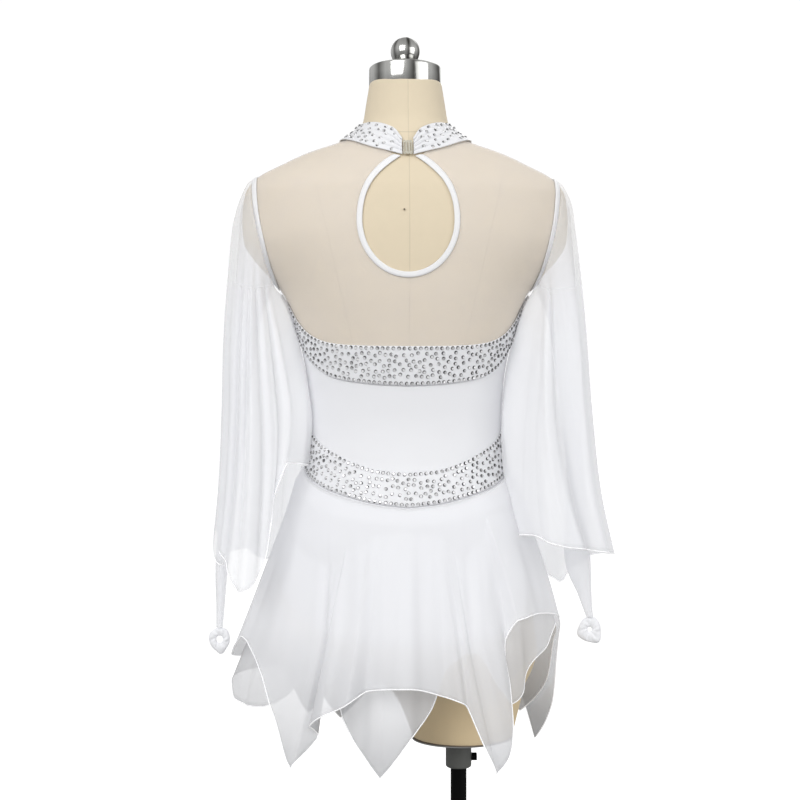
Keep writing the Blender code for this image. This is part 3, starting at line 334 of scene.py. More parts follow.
# The stand, in metres
FIT_GAP = 0.0003  # between pieces that run or sit on each other
POLE = namedtuple("Pole", "radius top foot bevel steps")(
    0.01025, -0.225, 0.0063, 0.0012, 48)
BORE_RADIUS = 0.0120
BORE_TOP = -0.088
BORE_RINGS = (-0.30, -0.20, BORE_TOP)
BOTTOM_TURN = 0.002  # the height above the form's bottom at which its edge turns in
# How far in and how far up each ring of that edge lies
BOTTOM_RINGS = ((0.0004, 0.0008), (0.0012, 0.0002), (0.004, 0.0))
RIM = namedtuple("Rim", "height out radius")(0.0012, 0.0002, 0.0009)
PIN = namedtuple("Pin", "angle height sunk length radius")(
    -1.4, 0.2715, 0.0005, 0.0016, 0.0011)
SOCKET = namedtuple("Socket", "radius top foot lip")(0.0165, -0.3885, -0.4250, 0.003)
PLATE = namedtuple("Plate", "radius thick foot bevel")(0.0600, 0.0015, -0.3863, 0.0005)
HEADS = namedtuple("Heads", "count turn out radius thick drop bevel")(
    3, 20, 0.042, 0.0042, 0.0016, 0.0005, 0.0007)
SCREW = namedtuple("Screw", "radius length height ribs rib_edge rib_deep rim step")(
    0.0050, 0.0065, -0.4120, 36, 0.00012, 0.0003, 0.0008, 0.0003)
BASE = namedtuple("Base", "radius thick hub hub_height border drop rise fillet climb bevel")(
    0.190, 0.012, 0.026, 0.060, 0.012, 0.003, 0.001, 0.004, 0.009, 0.002)
NECK_CAP = namedtuple("Cap", "radius height depth foot top_bevel foot_bevel border step")(
    0.0467, 0.0265, 0.0020, 0.4438, 0.0035, 0.0008, 0.028, 0.0006)
BALL = namedtuple("Ball", "radius centre cut rim collar collar_thick collar_up bevel")(
    0.0190, 0.4900, 0.93, 0.915, 0.0105, 0.0022, 0.0017, 0.0007)
CLASP = namedtuple("Clasp", "height width length wire rings gap out")(
    0.3488, 0.0108, 0.0212, 0.00085, 3, 0.0006, 0.0022)
BAR = namedtuple("Bar", "in_side thick high bevel back from_end")(
    0.0016, 0.0012, 0.0016, 0.0004, 0.0002, 0.0026)
LOOP = namedtuple("Loop", "ring cord flat stretch across left right fuller")(
    8.6, 4.6, 3.4, 1.12, 237, -260.0, -249.8, 1.26)
# Ripples of a loop's thickness: how much, how often round it and round its cord
LOOP_RIPPLES = ((0.16, 5, 3), (0.10, 11, 2))
# Limits that pick a primitive's edges and faces
NEAR, FLAT, UPRIGHT, RIM_REACH = 1e-4, 1e-5, 0.9, 0.001

# A stone: its sides, then shares of its width
STONE = namedtuple("Stone", "sides table height edge rise")(8, 0.30, 0.34, 0.03, 0.05)
STONE_LEAN = 0.10  # how far a stone leans, at most
DARK_WAY = Vector((-0.5, 0.0, 0.85))  # the facets that face this way get a painted dark reflection
DARK_ASIDE = (-0.8, 0.8)  # limits of the chance that turns it, sideways
DARK_UP = (-0.8, 0.4)  # and upwards
TABLE_GLINT = (0.45, 1.0)  # limits of the painted glint of a stone's flat top
TABLE_REACH = 0.1  # a face no further from the middle, in widths, is that top
FACET_POWER, FACET_GAIN = 3.0, 1.1  # how a facet's painted glint grows as it faces away
FACET_STRAY = 0.14
BAND_ACROSS = (0.1, 0.9)  # limits of the scatter over a band's height
COLLAR_ALONG = (0.75, 5.0)  # limits of the scatter along the collar, in its rows
COLLAR_ACROSS = (0.08, 0.92)
ROW_TURNS = 1440  # steps in which a row of stones is paced out
STONE_SUNK = 0.0003  # how deep a stone sits in its band
STONE_INSET = 0.62  # from a band's edge to a row of stones, as a share of one
BAND_TRIES, COLLAR_TRIES = 16000, 1400
COLLAR_APART = 0.0078  # least distance between the collar's stones
COLLAR_FACE = 0.0012  # from the collar's middle to a stone's back
NARROW_BAND = 0.014  # where a band is narrower it has its edge rows only

# The camera stands behind the dress, where the photograph was taken from
VIEW = namedtuple("View", "distance turn width across down frame")(
    1.75, 2.0, 1.024, 5.5, 35.0, 800)
SENSOR = 36.0  # mm

# The stage, in metres: a flat floor, then a curve up into a wall
SWEEP = namedtuple("Sweep", "flat rings curve wall around")(6.8, 17, 1.6, 9.0, 72)
FLOOR_GLOW = 0.55
SKY = namedtuple("Sky", "reach low high")(0.35, 0.32, 0.62)
Lamp = namedtuple("Lamp", "name spot size power")
LAMPS = table(Lamp, [
    ("key", (-1.5, -2.7, 2.6), 2.2, 59), ("fill", (2.4, -2.0, 1.7), 2.4, 28),
    ("front", (0.8, 2.4, 2.6), 2.6, 26),
])

WHITE = (1.0, 1.0, 1.0, 1.0)
BLACK = (0.0, 0.0, 0.0, 1.0)
# Heights from the waist, in metres, between which a look changes
SKIRT_FADE = (-0.385, -0.23)  # the skirt's painted glow fades and its painted shade grows downwards
TIP_FADE = (-0.42, -0.33)  # the hem's tips get more painted shade and hide more downwards
SLEEVE_THIN = (0.10, 0.24)  # the sleeves grow sheerer upwards
UNDERSKIRT_SHADE_TINT = (0.24, 0.33)  # below the waist: the form's cover is painted warmer, as it looks in the skirt's shade
# Seams of the form's cover at the back: where, how far they lean, half the width,
# between which heights, how softly they end, and how dark they are
CoverSeam = namedtuple("CoverSeam", "across lean width low high soft dark")
COVER_SEAMS = table(CoverSeam, [
    (0.0015, 0.0, 0.0009, -0.36, 0.445, 0.01, 0.6),
    (-0.041, -0.234, 0.0010, 0.1, 0.31, 0.02, 0.4),
    (0.0443, 0.227, 0.0010, 0.1, 0.33, 0.02, 0.4),
])
NECK_SEAM = namedtuple("NeckSeam", "height bow reach width dark")(
    0.3735, 5.2, 0.05, 0.0010, 0.9)
# Painted dark uprights of the room mirrored in the chrome: towards which turn, half the width,
# and how dark
Streak = namedtuple("Streak", "turn width dark")
CHROME_REFLECTIONS = table(Streak, [
    (-2.5, 0.5, 0.7), (-1.6, 0.35, 0.8), (-0.87, 0.24, 0.75), (0.19, 0.22, 0.8),
    (1.12, 0.36, 1.0), (1.9, 0.3, 0.6), (2.7, 0.5, 0.8),
])
CHROME_TOP = (0.492, 0.512)  # the painted reflection darkens the ball upwards between these heights
# Places of the sockets that share a name on Blender's nodes
FACTOR_OUT = 2
MIX_FIRST, MIX_SECOND, MIX_RESULT = 6, 7, 2


class Curve:
    """A column of a table as a smooth curve with no overshoot; its low points are sharp
    where it is pointed."""

    def __init__(self, rows, key, column, pointed=0.0):
        pairs = sorted((getattr(row, key), getattr(row, column)) for row in rows)
        self.keys = [p[0] for p in pairs]
        self.data = [p[1] for p in pairs]
        step = [b - a for a, b in zip(self.keys, self.keys[1:])]
        slope = [(b - a) / d for a, b, d in zip(self.data, self.data[1:], step)]
        self.tangent = [slope[0]]
        for left, right in zip(slope, slope[1:]):
            flat = left * right <= 0
            self.tangent.append(0.0 if flat else 2 * left * right / (left + right))
        self.tangent.append(slope[-1])
        self.arrival = list(self.tangent)
        for i, (left, right) in enumerate(zip(slope, slope[1:]), 1):
            if left < 0 < right:
                self.arrival[i] = left * pointed
                self.tangent[i] = right * pointed

    def __call__(self, value):
        keys, data = self.keys, self.data
        if value <= keys[0]:
            return data[0]
        if value >= keys[-1]:
            return data[-1]
        i = bisect.bisect_right(keys, value) - 1
        step = keys[i + 1] - keys[i]
        t = (value - keys[i]) / step
        a, b = self.tangent[i] * step, self.arrival[i + 1] * step
        return (data[i] * (1 + 2 * t) * (1 - t) ** 2 + a * t * (1 - t) ** 2
                + data[i + 1] * t * t * (3 - 2 * t) - b * t * t * (1 - t))


def sin_of(degrees):
    return math.sin(math.radians(degrees))


def cos_of(degrees):
    return math.cos(math.radians(degrees))


LEVEL_CURVES = [Curve(FORM, "height", c)
                for c in ("centre", "width", "back", "front", "square")]
EDGES = {name: Curve(rows, "angle", "height") for name, rows in (
    ("bust top", BUST_TOP), ("bust foot", BUST_FOOT), ("waist top", WAIST_TOP),
    ("waist foot", WAIST_FOOT), ("brief foot", BRIEF_FOOT))}
SEAM_CURVE = Curve(ARMHOLE, "height", "across")
RIGHT_HEM_CURVE = Curve(RIGHT_HEM, "angle", "height")
LEFT_HEM_CURVE = Curve(LEFT_HEM, "angle", "height")


def level(height):
    """The form's section at a height in metres, in metres."""
    centre, width, back, front, square = (c(height / MM) for c in LEVEL_CURVES)
    return Level(height, centre * MM, width * MM, back * MM, front * MM, square)


def signed_power(value, power):
    """A power of the value's size, with its sign."""
    return math.copysign(abs(value) ** power, value)


def skin(angle, height):
    """A point of the form's skin; angle runs from the centre back to the right."""
    at = level(height)
    s, c = sin_of(angle), cos_of(angle)
    reach = at.back if c > 0 else at.front
    return Vector((at.centre + at.width * signed_power(s, 2 / at.square),
                   -reach * signed_power(c, 2 / at.square), height))


def way_out(angle, height):
    """The direction straight out from the form's skin."""
    turned, raised = 0.6, 0.0008
    round_it = skin(angle + turned, height) - skin(angle - turned, height)
    up = skin(angle, height + raised) - skin(angle, height - raised)
    return round_it.cross(up).normalized()


def body(angle, height, out=0.0):
    """A point at a distance out from the form's skin."""
    return skin(angle, height) + way_out(angle, height) * out


def angle_at(across, height, front=False):
    """The angle at which the skin at a height lies so far across."""
    at = level(height)
    share = min(1.0, abs(across - at.centre) / at.width)
    angle = math.degrees(math.asin(share ** (at.square / 2)))
    return math.copysign(180 - angle if front else angle, across - at.centre or 1)


def form_radius(turn, height):
    """How far the skin lies from the form's middle line, towards a turn."""
    at = level(height)
    s, c = sin_of(turn), cos_of(turn)
    width = at.width + max(0.0, math.copysign(at.centre, s * at.centre))
    reach = at.back if c > 0 else at.front
    n = at.square
    return ((abs(s) / width) ** n + (abs(c) / reach) ** n) ** (-1 / n)


def edge(name, angle):
    """The height of a band's edge at an angle from the centre back, either way."""
    return EDGES[name](abs(angle)) * MM


def span(start, end, count):
    """Numbers from start to end in so many even steps."""
    return [start + (end - start) * i / count for i in range(count + 1)]


def swell(t):
    """Runs smoothly from 0 to 1."""
    t = min(1.0, max(0.0, t))
    return t * t * (3 - 2 * t)


def bell_curve(away, spread):
    """1 at no distance, falling to nothing over a few spreads."""
    return math.exp(-(away / spread) ** 2)


def turn_apart(turn, place):
    """How far one turn lies past another, from -180 to 180 degrees."""
    return (turn - place + 180) % 360 - 180


# Finishes

class Value:
    """A socket that Python's operators and numbers work on."""

    def __init__(self, finish, socket):
        self.finish = finish
        self.socket = socket

    def maths(self, operation, *others):
        """The value put through a Math node."""
        return self.finish.node("Math", {"operation": operation}, self, *others)

    def __add__(self, other):
        return self.maths("ADD", other)

    def __sub__(self, other):
        return self.maths("SUBTRACT", other)

    def __mul__(self, other):
        return self.maths("MULTIPLY", other)

    def __truediv__(self, other):
        return self.maths("DIVIDE", other)

    def __rsub__(self, other):
        return self.finish.node("Math", {"operation": "SUBTRACT"}, other, self)

    def __abs__(self):
        return self.maths("ABSOLUTE")

    __radd__ = __add__
    __rmul__ = __mul__

    def sine(self):
        return self.maths("SINE")

    def line(self, width):
        """1 where the value is 0, fading out to both sides over a width."""
        return (1 - abs(self) / width).maths("MAXIMUM", 0.0)

    def clamped(self):
        """The value held between 0 and 1."""
        return self.maths("MAXIMUM", 0.0).maths("MINIMUM", 1.0)

    def between(self, low, high, soft):
        """1 where the value lies between two limits."""
        up = ((self - low) / soft + 0.5).clamped()
        down = ((high - self) / soft + 0.5).clamped()
        return up * down

    def share(self, low, high):
        """0 at and below one limit, 1 at and above the other."""
        return ((self - low) / (high - low)).clamped()


class Finish:
    """A material being made."""

    def __init__(self, name, colour, roughness, **uniform):
        self.made = bpy.data.materials.new(name)
        self.made.use_nodes = True
        self.tree = self.made.node_tree
        self.shader = self.tree.nodes["Principled BSDF"]
        self.shader.inputs["Base Color"].default_value = (*colour, 1.0)
        self.shader.inputs["Roughness"].default_value = roughness
        slots = {slot.name.lower(): slot for slot in self.shader.inputs}
        for key, value in uniform.items():
            slots[key.replace("_", " ")].default_value = value
        self.colour = (*colour, 1.0)

    def node(self, kind, settings, *values, out=0, **named):
        """A new node's output; values go into its sockets by place or by name."""
        made = self.tree.nodes.new("ShaderNode" + kind)
        for key, value in settings.items():
            setattr(made, key, value)
        for place, value in list(enumerate(values)) + list(named.items()):
            if isinstance(place, str):
                place = place.replace("_", " ")
            if isinstance(value, Value):
                self.tree.links.new(value.socket, made.inputs[place])
            else:
                made.inputs[place].default_value = value
        return Value(self, made.outputs[out])

    def feed(self, name, value):
        """Links a value to one of the shader's sockets."""
        self.tree.links.new(value.socket, self.shader.inputs[name])

    def place(self):
        """The point on the piece, in metres, as one vector and as x, y and z."""
        spot = self.node("TexCoord", {}, out="Object")
        return [spot] + [self.node("SeparateXYZ", {}, spot, out=k) for k in range(3)]

    def cloth_place(self):
        """The point on the cloth as it was cut, in metres: round and along."""
        spot = self.node("UVMap", {"uv_map": "cut"})
        return [self.node("SeparateXYZ", {}, spot, out=k) for k in range(2)]

    def dip(self):
        """How deep in a crease the point lies, 0 to 1."""
        return self.node("Attribute", {"attribute_name": "dip"}, out=FACTOR_OUT)

    def noise(self, spot, scale, detail=2.0, stretch=(1, 1, 1)):
        """Soft noise, 0 to 1, stretched along the axes."""
        spot = self.node("Mapping", {}, spot, Scale=stretch)
        return self.node("TexNoise", {}, Vector=spot, Scale=scale, Detail=detail)

    def blend(self, factor, first, second):
        """One colour at factor 0 and another at 1."""
        made = self.node("Mix", {"data_type": "RGBA"}, Factor=factor)
        mix = made.socket.node
        for place, value in ((MIX_FIRST, first), (MIX_SECOND, second)):
            if isinstance(value, Value):
                self.tree.links.new(value.socket, mix.inputs[place])
            else:
                mix.inputs[place].default_value = value
        return Value(self, mix.outputs[MIX_RESULT])

    def shade(self, factor):
        """The finish's own colour, darker where the factor is 1."""
        dark = tuple(c * 0.72 for c in self.colour[:3]) + (1.0,)
        return self.blend(factor, self.colour, dark)

    def bump(self, height, strength, distance):
        """Gives the finish a relief."""
        self.feed("Normal", self.node("Bump", {}, Strength=strength,
                                      Distance=distance, Height=height))


def weave(finish, pitch):
    """Two crossing sets of threads."""
    along, up = finish.cloth_place()
    turn = 2 * math.pi / pitch
    return (along * turn).sine() * (up * turn).sine()


def linen():
    """Cream canvas of the form's cover, with its sewn seams."""
    made = Finish("form_linen", colours().form_cream, 0.88, sheen_weight=0.15)
    spot, x, y, z = made.place()
    height = z - WAIST_Z
    across = x - FORM_X
    behind = y.maths("LESS_THAN", 0.0)
    neck = (height - NECK_SEAM.height - across * across * NECK_SEAM.bow).line(NECK_SEAM.width)
    seams = neck * abs(across).maths("LESS_THAN", NECK_SEAM.reach) * NECK_SEAM.dark
    for seam in COVER_SEAMS:
        line = (across - seam.across - height * seam.lean).line(seam.width)
        seams = line * height.between(seam.low, seam.high, seam.soft) * seam.dark + seams
    seams = seams.maths("MINIMUM", 1.0) * behind
    shade = made.noise(spot, 7.0) * 0.5 + made.noise(spot, 90.0) * 0.35
    # Painted warmer tone of the shade under the skirt
    canvas = made.blend((height * -1).share(*UNDERSKIRT_SHADE_TINT), made.colour, (0.86, 0.68, 0.42, 1))
    tone = (shade - 0.25) * 0.35 + seams * 0.9
    made.feed("Base Color", made.blend(tone, canvas, (0.56, 0.49, 0.36, 1)))
    made.bump(weave(made, 0.0011) * 0.12 + made.noise(spot, 300.0) * 0.10 - seams * 1.5,
              0.4, 0.0004)
    return made.made


def chiffon(name, cover, glow, fade=None, thin=None):
    """Sheer white cloth in soft folds; its glow is painted light that stands in for the light it
    lets through.
    """
    made = Finish(name, colours().dress_white, 0.72, sheen_weight=0.25, sheen_roughness=0.5,
                  emission_strength=glow)
    spot, _, _, z = made.place()
    height = z - WAIST_Z
    crinkle = made.noise(spot, 12.0, 2.0, (1.0, 1.0, 0.16))
    fibres = made.noise(spot, 260.0, 1.0)
    made.feed("Roughness", fibres * 0.10 + 0.66)
    alpha = (crinkle - 0.5) * 0.06 + cover
    # Painted shade in the troughs of the creases
    dark = made.dip() * 0.5
    # Painted shade towards the hem and its tips, where less light falls
    if fade:
        unlit = 1 - height.share(*fade)
        tip = 1 - height.share(*TIP_FADE)
        dark = dark + unlit * 0.85 + tip * 0.25
        alpha = alpha + unlit * 0.10 + tip * 0.14
    made.feed("Base Color", made.shade(dark))
    # The painted glow dims where the painted shade falls
    made.feed("Emission Color", made.blend(dark, WHITE, BLACK))
    if thin:
        alpha = alpha - height.share(*thin) * 0.24
    made.feed("Alpha", alpha)
    made.bump(crinkle * 2.0 + fibres * 0.05, 0.30, 0.0014)
    return made.made


def net():
    """Sheer stretch mesh: the form's colour shows through it, and a painted glow brightens it."""
    made = Finish("sheer_net", colours().net_white, 0.66, sheen_weight=0.2,
                  emission_strength=0.10, emission_color=WHITE)
    spot = made.place()[0]
    holes = weave(made, 0.0013)
    made.feed("Alpha", holes * 0.02 + made.noise(spot, 30.0) * 0.05 + sizes().net_cover)
    made.bump(holes, 0.05, 0.0003)
    return made.made


def stretch(name, roughness, sheen):
    """Firm white stretch cloth with a soft satin face, and painted shade in the troughs of its
    gathers.
    """
    made = Finish(name, colours().dress_white, roughness, sheen_weight=sheen,
                  sheen_roughness=0.4)
    spot = made.place()[0]
    broad = made.noise(spot, 11.0, 2.0, (1.0, 1.0, 2.2))
    made.feed("Roughness", broad * 0.14 + (roughness - 0.07))
    # Random tone, and painted shade in the troughs of the gathers
    made.feed("Base Color", made.shade((broad - 0.45) * 0.18 + made.dip() * 0.95))
    made.bump(weave(made, 0.0008) * 0.2 + broad * 2.2, 0.25, 0.0010)
    return made.made


def elastic():
    """Folded elastic with fine ribs across it, and a faint painted glow."""
    made = Finish("white_elastic", colours().hem_white, 0.58, sheen_weight=0.2,
                  emission_strength=0.02, emission_color=WHITE)
    along, up = made.cloth_place()
    ribs = (along * (2 * math.pi / 0.0012)).sine()
    middle = (up * (2 * math.pi / 0.0035)).sine()
    made.feed("Base Color", made.shade((ribs * 0.5 + 0.5) * 0.42))
    made.bump(ribs * 0.6 + middle * 0.5, 0.4, 0.0003)
    return made.made


def hem_thread():
    """The tight white roll of a hem, with a painted glow that keeps it bright."""
    made = Finish("rolled_hem", colours().hem_white, 0.6, sheen_weight=0.2,
                  emission_strength=0.22, emission_color=WHITE)
    spot = made.place()[0]
    made.bump(made.noise(spot, 900.0, 1.0), 0.3, 0.0003)
    return made.made


def crystal():
    """Foiled stones, each facet painted as dark or bright as its glint."""
    made = Finish("clear_stones", (0.70, 0.71, 0.74), 0.16, metallic=0.2,
                  coat_weight=0.5, coat_roughness=0.03)
    glint = made.node("Attribute", {"attribute_name": "glint"}, out=FACTOR_OUT)
    made.feed("Base Color", made.blend(glint, (0.012, 0.013, 0.015, 1),
                                       (0.99, 0.99, 1.0, 1)))
    return made.made


def clear_plastic():
    """The clasp's clear, slightly yellow plastic."""
    made = Finish("clear_clasp", (0.80, 0.77, 0.66), 0.14, transmission_weight=0.35,
                  ior=1.49, coat_weight=0.5)
    spot = made.place()[0]
    made.feed("Roughness", made.noise(spot, 300.0) * 0.12 + 0.08)
    return made.made


def chrome():
    """Chrome plate, with painted dark and light uprights of the room that it mirrors and a
    painted darker top.
    """
    made = Finish("chrome", (0.86, 0.86, 0.84), 0.12, metallic=1.0)
    spot, x, y, z = made.place()
    turn = (x - FORM_X).maths("ARCTAN2", y * -1)
    # Painted reflection: a darker top, mottling and the room's dark uprights
    dark = (z - WAIST_Z).share(*CHROME_TOP) * 0.75 + (made.noise(spot, 40.0) - 0.4) * 0.5
    for streak in CHROME_REFLECTIONS:
        dark = (turn - streak.turn).line(streak.width) * streak.dark + dark
    made.feed("Base Color", made.blend(dark.clamped(), (0.66, 0.66, 0.64, 1),
                                       (0.06, 0.058, 0.052, 1)))
    made.feed("Roughness", made.noise(spot, 30.0, 3.0) * 0.10 + 0.07)
    return made.made


def metal(name, colour, roughness, metallic, streaks=0.10, stretch_by=(1, 1, 18),
          shine=0.5):
    """Metal or paint with fine wear and, in plated parts, turning marks."""
    made = Finish(name, colour, roughness, metallic=metallic, specular_ior_level=shine)
    spot = made.place()[0]
    marks = made.noise(spot, 60.0, 3.0, stretch_by)
    wear = made.noise(spot, 14.0, 4.0)
    made.feed("Roughness", marks * streaks + wear * streaks + (roughness - streaks))
    made.feed("Base Color", made.shade((wear - 0.5) * (1.8 * streaks) + 0.02))
    made.bump(marks, 0.08, 0.0003)
    return made.made


FINISHES = {
    "linen": linen,
    "chiffon": lambda: chiffon("skirt_chiffon", sizes().chiffon_cover, 0.12,
                               fade=SKIRT_FADE),
    "sleeve": lambda: chiffon("sleeve_chiffon", sizes().sleeve_cover, 0.13,
                              thin=SLEEVE_THIN),
    "net": net,
    "bands": lambda: stretch("stoned_stretch", 0.46, 0.30),
    "matt": lambda: stretch("matt_satin", 0.55, 0.35),
    "elastic": elastic,
    "hem": hem_thread,
    "loop": lambda: chiffon("loop_chiffon", 0.92, 0.10),
    "crystal": crystal,
    "clear": clear_plastic,
    "chrome": chrome,
    "steel": lambda: metal("plate_steel", (0.56, 0.56, 0.55), 0.34, 0.9, 0.14, (6, 6, 1)),
    "grey": lambda: metal("socket_grey", (0.135, 0.138, 0.13), 0.5, 0.2),
    "black": lambda: metal("stand_black", (0.002, 0.002, 0.0022), 0.46, 0.0, shine=0.08),
    "rim": lambda: metal("thigh_rim", (0.16, 0.13, 0.10), 0.6, 0.0),
    "pin": lambda: metal("pin_steel", (0.30, 0.26, 0.20), 0.3, 0.9),
}


@lru_cache(maxsize=None)
def finish(name):
    """The material of that name, made when it is first asked for."""
    return FINISHES[name]()


# Sizes and colours that a user would change

def long_setting(name, description, default, least, most):
    return FloatProperty(name=name, description=description, default=default, min=least,
                         max=most, unit="LENGTH")


def share_setting(name, description, default, least):
    return FloatProperty(name=name, description=description, default=default, min=least,
                         max=1.0, subtype="FACTOR")


def colour_setting(name, description, default):
    return FloatVectorProperty(name=name, description=description, default=default,
                               subtype="COLOR", min=0, max=1)


class DressSizes(bpy.types.PropertyGroup):
    """Thicknesses and stones, in metres, and how much the sheer cloths hide"""
    chiffon_wall: long_setting("Chiffon", "Thickness of the sheer cloth", 0.0004, 0.0002, 0.001)
    stretch_wall: long_setting("Stretch cloth", "Thickness of the close panels",
                               0.0007, 0.0003, 0.0015)
    band_wall: long_setting("Bands", "Thickness of the stoned bands and elastic edges",
                            0.0011, 0.0005, 0.002)
    hem_roll: long_setting("Rolled hem", "Radius of the rolled hem", 0.00075, 0.0004, 0.0015)
    stone_width: long_setting("Stone", "Width of a stone", 0.0053, 0.002, 0.006)
    stone_step: long_setting("Stones in a row", "Step of the stones along a band's edge",
                             0.0063, 0.004, 0.012)
    stone_apart: long_setting("Scattered stones", "Least distance between scattered stones",
                              0.0061, 0.005, 0.02)
    stone_seed: IntProperty(name="Scatter", description="Which scatter of stones",
                            default=7, min=0)
    chiffon_cover: share_setting("Skirt cover", "How much one face of the skirt's chiffon hides",
                                 0.50, 0.1)
    sleeve_cover: share_setting("Sleeve cover", "How much one face of the sleeves' chiffon hides",
                                0.42, 0.3)
    net_cover: share_setting("Net cover", "How much one face of the net hides", 0.19, 0.05)


class DressColours(bpy.types.PropertyGroup):
    """Colours of the cloths, the form's cover and the floor"""
    dress_white: colour_setting("Dress", "Colour of the dress cloth", (0.86, 0.865, 0.89))
    hem_white: colour_setting("Hems", "Colour of the rolled hems", (0.93, 0.93, 0.94))
    net_white: colour_setting("Net", "Colour of the sheer mesh", (0.90, 0.88, 0.90))
    form_cream: colour_setting("Form", "Colour of the form's cover", (0.765, 0.662, 0.492))
    floor_white: colour_setting("Floor", "Colour of the floor and its sweep", (0.93, 0.93, 0.93))


def sizes():
    """The sizes as they are set in the scene."""
    return bpy.context.scene.dress_sizes


def colours():
    """The colours as they are set in the scene."""
    return bpy.context.scene.dress_colours


# Meshes

def place_all(points):
    """Points of the form, moved to where the form stands."""
    return [(p[0] + FORM_X, p[1], p[2] + WAIST_Z) for p in points]


def new_mesh(name, points, faces):
    """A mesh of points in the world."""
    mesh = bpy.data.meshes.new(name)
    mesh.from_pydata(points, [], faces)
    return mesh


def add(name, data):
    """An object of its data, in the scene."""
    made = bpy.data.objects.new(name, data)
    bpy.context.scene.collection.objects.link(made)
    return made


def show(name, mesh, look, body_name, *nodes):
    """Puts a mesh into the scene with its look, its body and the nodes it replaces."""
    made = add(name, mesh)
    mesh.materials.append(finish(look))
    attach(made, body_name)
    if nodes:
        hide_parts(*nodes)
    return made


def cut_lengths(grid, closed):
    """Each point's place on the cloth as it was cut: round and along, in metres."""
    columns, rows = len(grid), len(grid[0])
    middle = rows // 2
    along = [0.0]
    for i in range(1, columns + (1 if closed else 0)):
        along.append(along[-1] + (grid[i % columns][middle] - grid[i - 1][middle]).length)
    up = []
    for column in grid:
        run = [0.0]
        for a, b in zip(column, column[1:]):
            run.append(run[-1] + (b - a).length)
        up.append(run)
    return along, up


def cloth(name, grid, look, wall, closed=False, flip=False, dips=None):
    """A wall of cloth on a grid of points, a list of columns, about its middle; dips
    say how deep in a crease each point lies."""
    columns, rows = len(grid), len(grid[0])
    faces, corners = [], []
    for i in range(columns if closed else columns - 1):
        k = (i + 1) % columns
        for j in range(rows - 1):
            quad = [(i, i, j), (k, i + 1, j), (k, i + 1, j + 1), (i, i, j + 1)]
            quad = quad[::-1] if flip else quad
            faces.append([c * rows + r for c, _, r in quad])
            corners += quad
    mesh = new_mesh(name, place_all([p for column in grid for p in column]), faces)
    along, up = cut_lengths(grid, closed)
    layer = mesh.uv_layers.new(name="cut")
    for spot, (column, place, row) in zip(layer.data, corners):
        spot.uv = (along[place], up[column][row])
    if dips:
        deep = [min(1.0, max(0.0, dip)) for column in dips for dip in column]
        mesh.attributes.new("dip", "FLOAT", "POINT").data.foreach_set("value", deep)
    mesh.shade_smooth()
    made = show(name, mesh, look, "form")
    solid = made.modifiers.new("wall", "SOLIDIFY")
    solid.thickness = wall
    solid.offset = 0.0
    solid.use_quality_normals = True
    return made


def roll(name, lines, look, radius, closed=True, sides=6, taper=None):
    """Round cord meshes along lines of points, as one piece."""
    points, faces = [], []
    for line in lines:
        count, first, run = len(line), len(points), 0.0
        side = Vector((0, 0, 1))
        for i, p in enumerate(line):
            after = line[(i + 1) % count] if closed else line[min(i + 1, count - 1)]
            before = line[i - 1] if closed or i else line[0]
            way = (after - before).normalized()
            side = (side - way * side.dot(way)).normalized()
            other = way.cross(side)
            thick = radius * (taper(i / (count - 1)) if taper else 1.0)
            for k in range(sides):
                turn = 2 * math.pi * k / sides
                points.append(p + (side * math.cos(turn) + other * math.sin(turn)) * thick)
        for i in range(count if closed else count - 1):
            for k in range(sides):
                a, b = first + i * sides, first + ((i + 1) % count) * sides
                n = (k + 1) % sides
                faces.append((a + k, a + n, b + n, b + k))
        if not closed:
            faces.append([first + k for k in reversed(range(sides))])
            faces.append([first + (count - 1) * sides + k for k in range(sides)])
    mesh = new_mesh(name, place_all(points), faces)
    mesh.shade_smooth()
    return show(name, mesh, look, "form")


def round_share(s, depth):
    """A strip's crown: full in the middle, rolled down at its edges."""
    return depth * (1 - abs(2 * s - 1) ** 5)


def close_panel(name, foot, top, middle, steps, look, wall, out, crown=0.0, under=0.0):
    """A panel that lies on the form, half round it, between two edges or a little
    under them."""
    grid = []
    for angle in span(middle - 90, middle + 90, steps.round):
        turn = angle if angle <= 180 else 360 - angle
        low = edge(foot, turn) + SEAM_GAP - under
        high = edge(top, turn) - SEAM_GAP + under
        grid.append([body(angle, low + (high - low) * s, out + round_share(s, crown))
                     for s in span(0, 1, steps.along)])
    return cloth(name, grid, look, wall)


# Places on the dress

def hole_point(hole, turn, grow=0.0):
    """A place on a keyhole edge, turned from its bottom; grow moves it outwards."""
    s, c = sin_of(turn), cos_of(turn)
    down = hole.down if c > 0 else hole.up
    across = (hole.across + grow) * s * (1 - hole.point * max(0.0, -c) ** 4)
    return across * MM, (KEYHOLE_HEIGHT - (down + grow) * c) * MM


def on_back(across, height, out):
    """A point on the form's back at a place across and a height."""
    return body(angle_at(across, height), height, out)


@lru_cache(maxsize=None)
def armhole_heights(shift):
    """Heights of the shoulder and underarm points of a line beside the seam."""
    found = []
    for low, high in (ARMHOLE_TOP, ARMHOLE_FOOT):
        inside_low = low == ARMHOLE_TOP[0]
        for _ in range(HALVINGS):
            middle = (low + high) / 2
            inside = LEVEL_CURVES[1](middle) > SEAM_CURVE(middle) + shift
            if inside == inside_low:
                low = middle
            else:
                high = middle
        found.append(middle)
    return found


def armhole_place(shift, turn):
    """Angle and height on the form beside the armhole seam, turned from its top."""
    top, foot = armhole_heights(shift)
    height = (top + foot) / 2 + (top - foot) / 2 * cos_of(turn)
    across = SEAM_CURVE(height) + shift
    return angle_at(across * MM, height * MM, turn % 360 > 180), height * MM


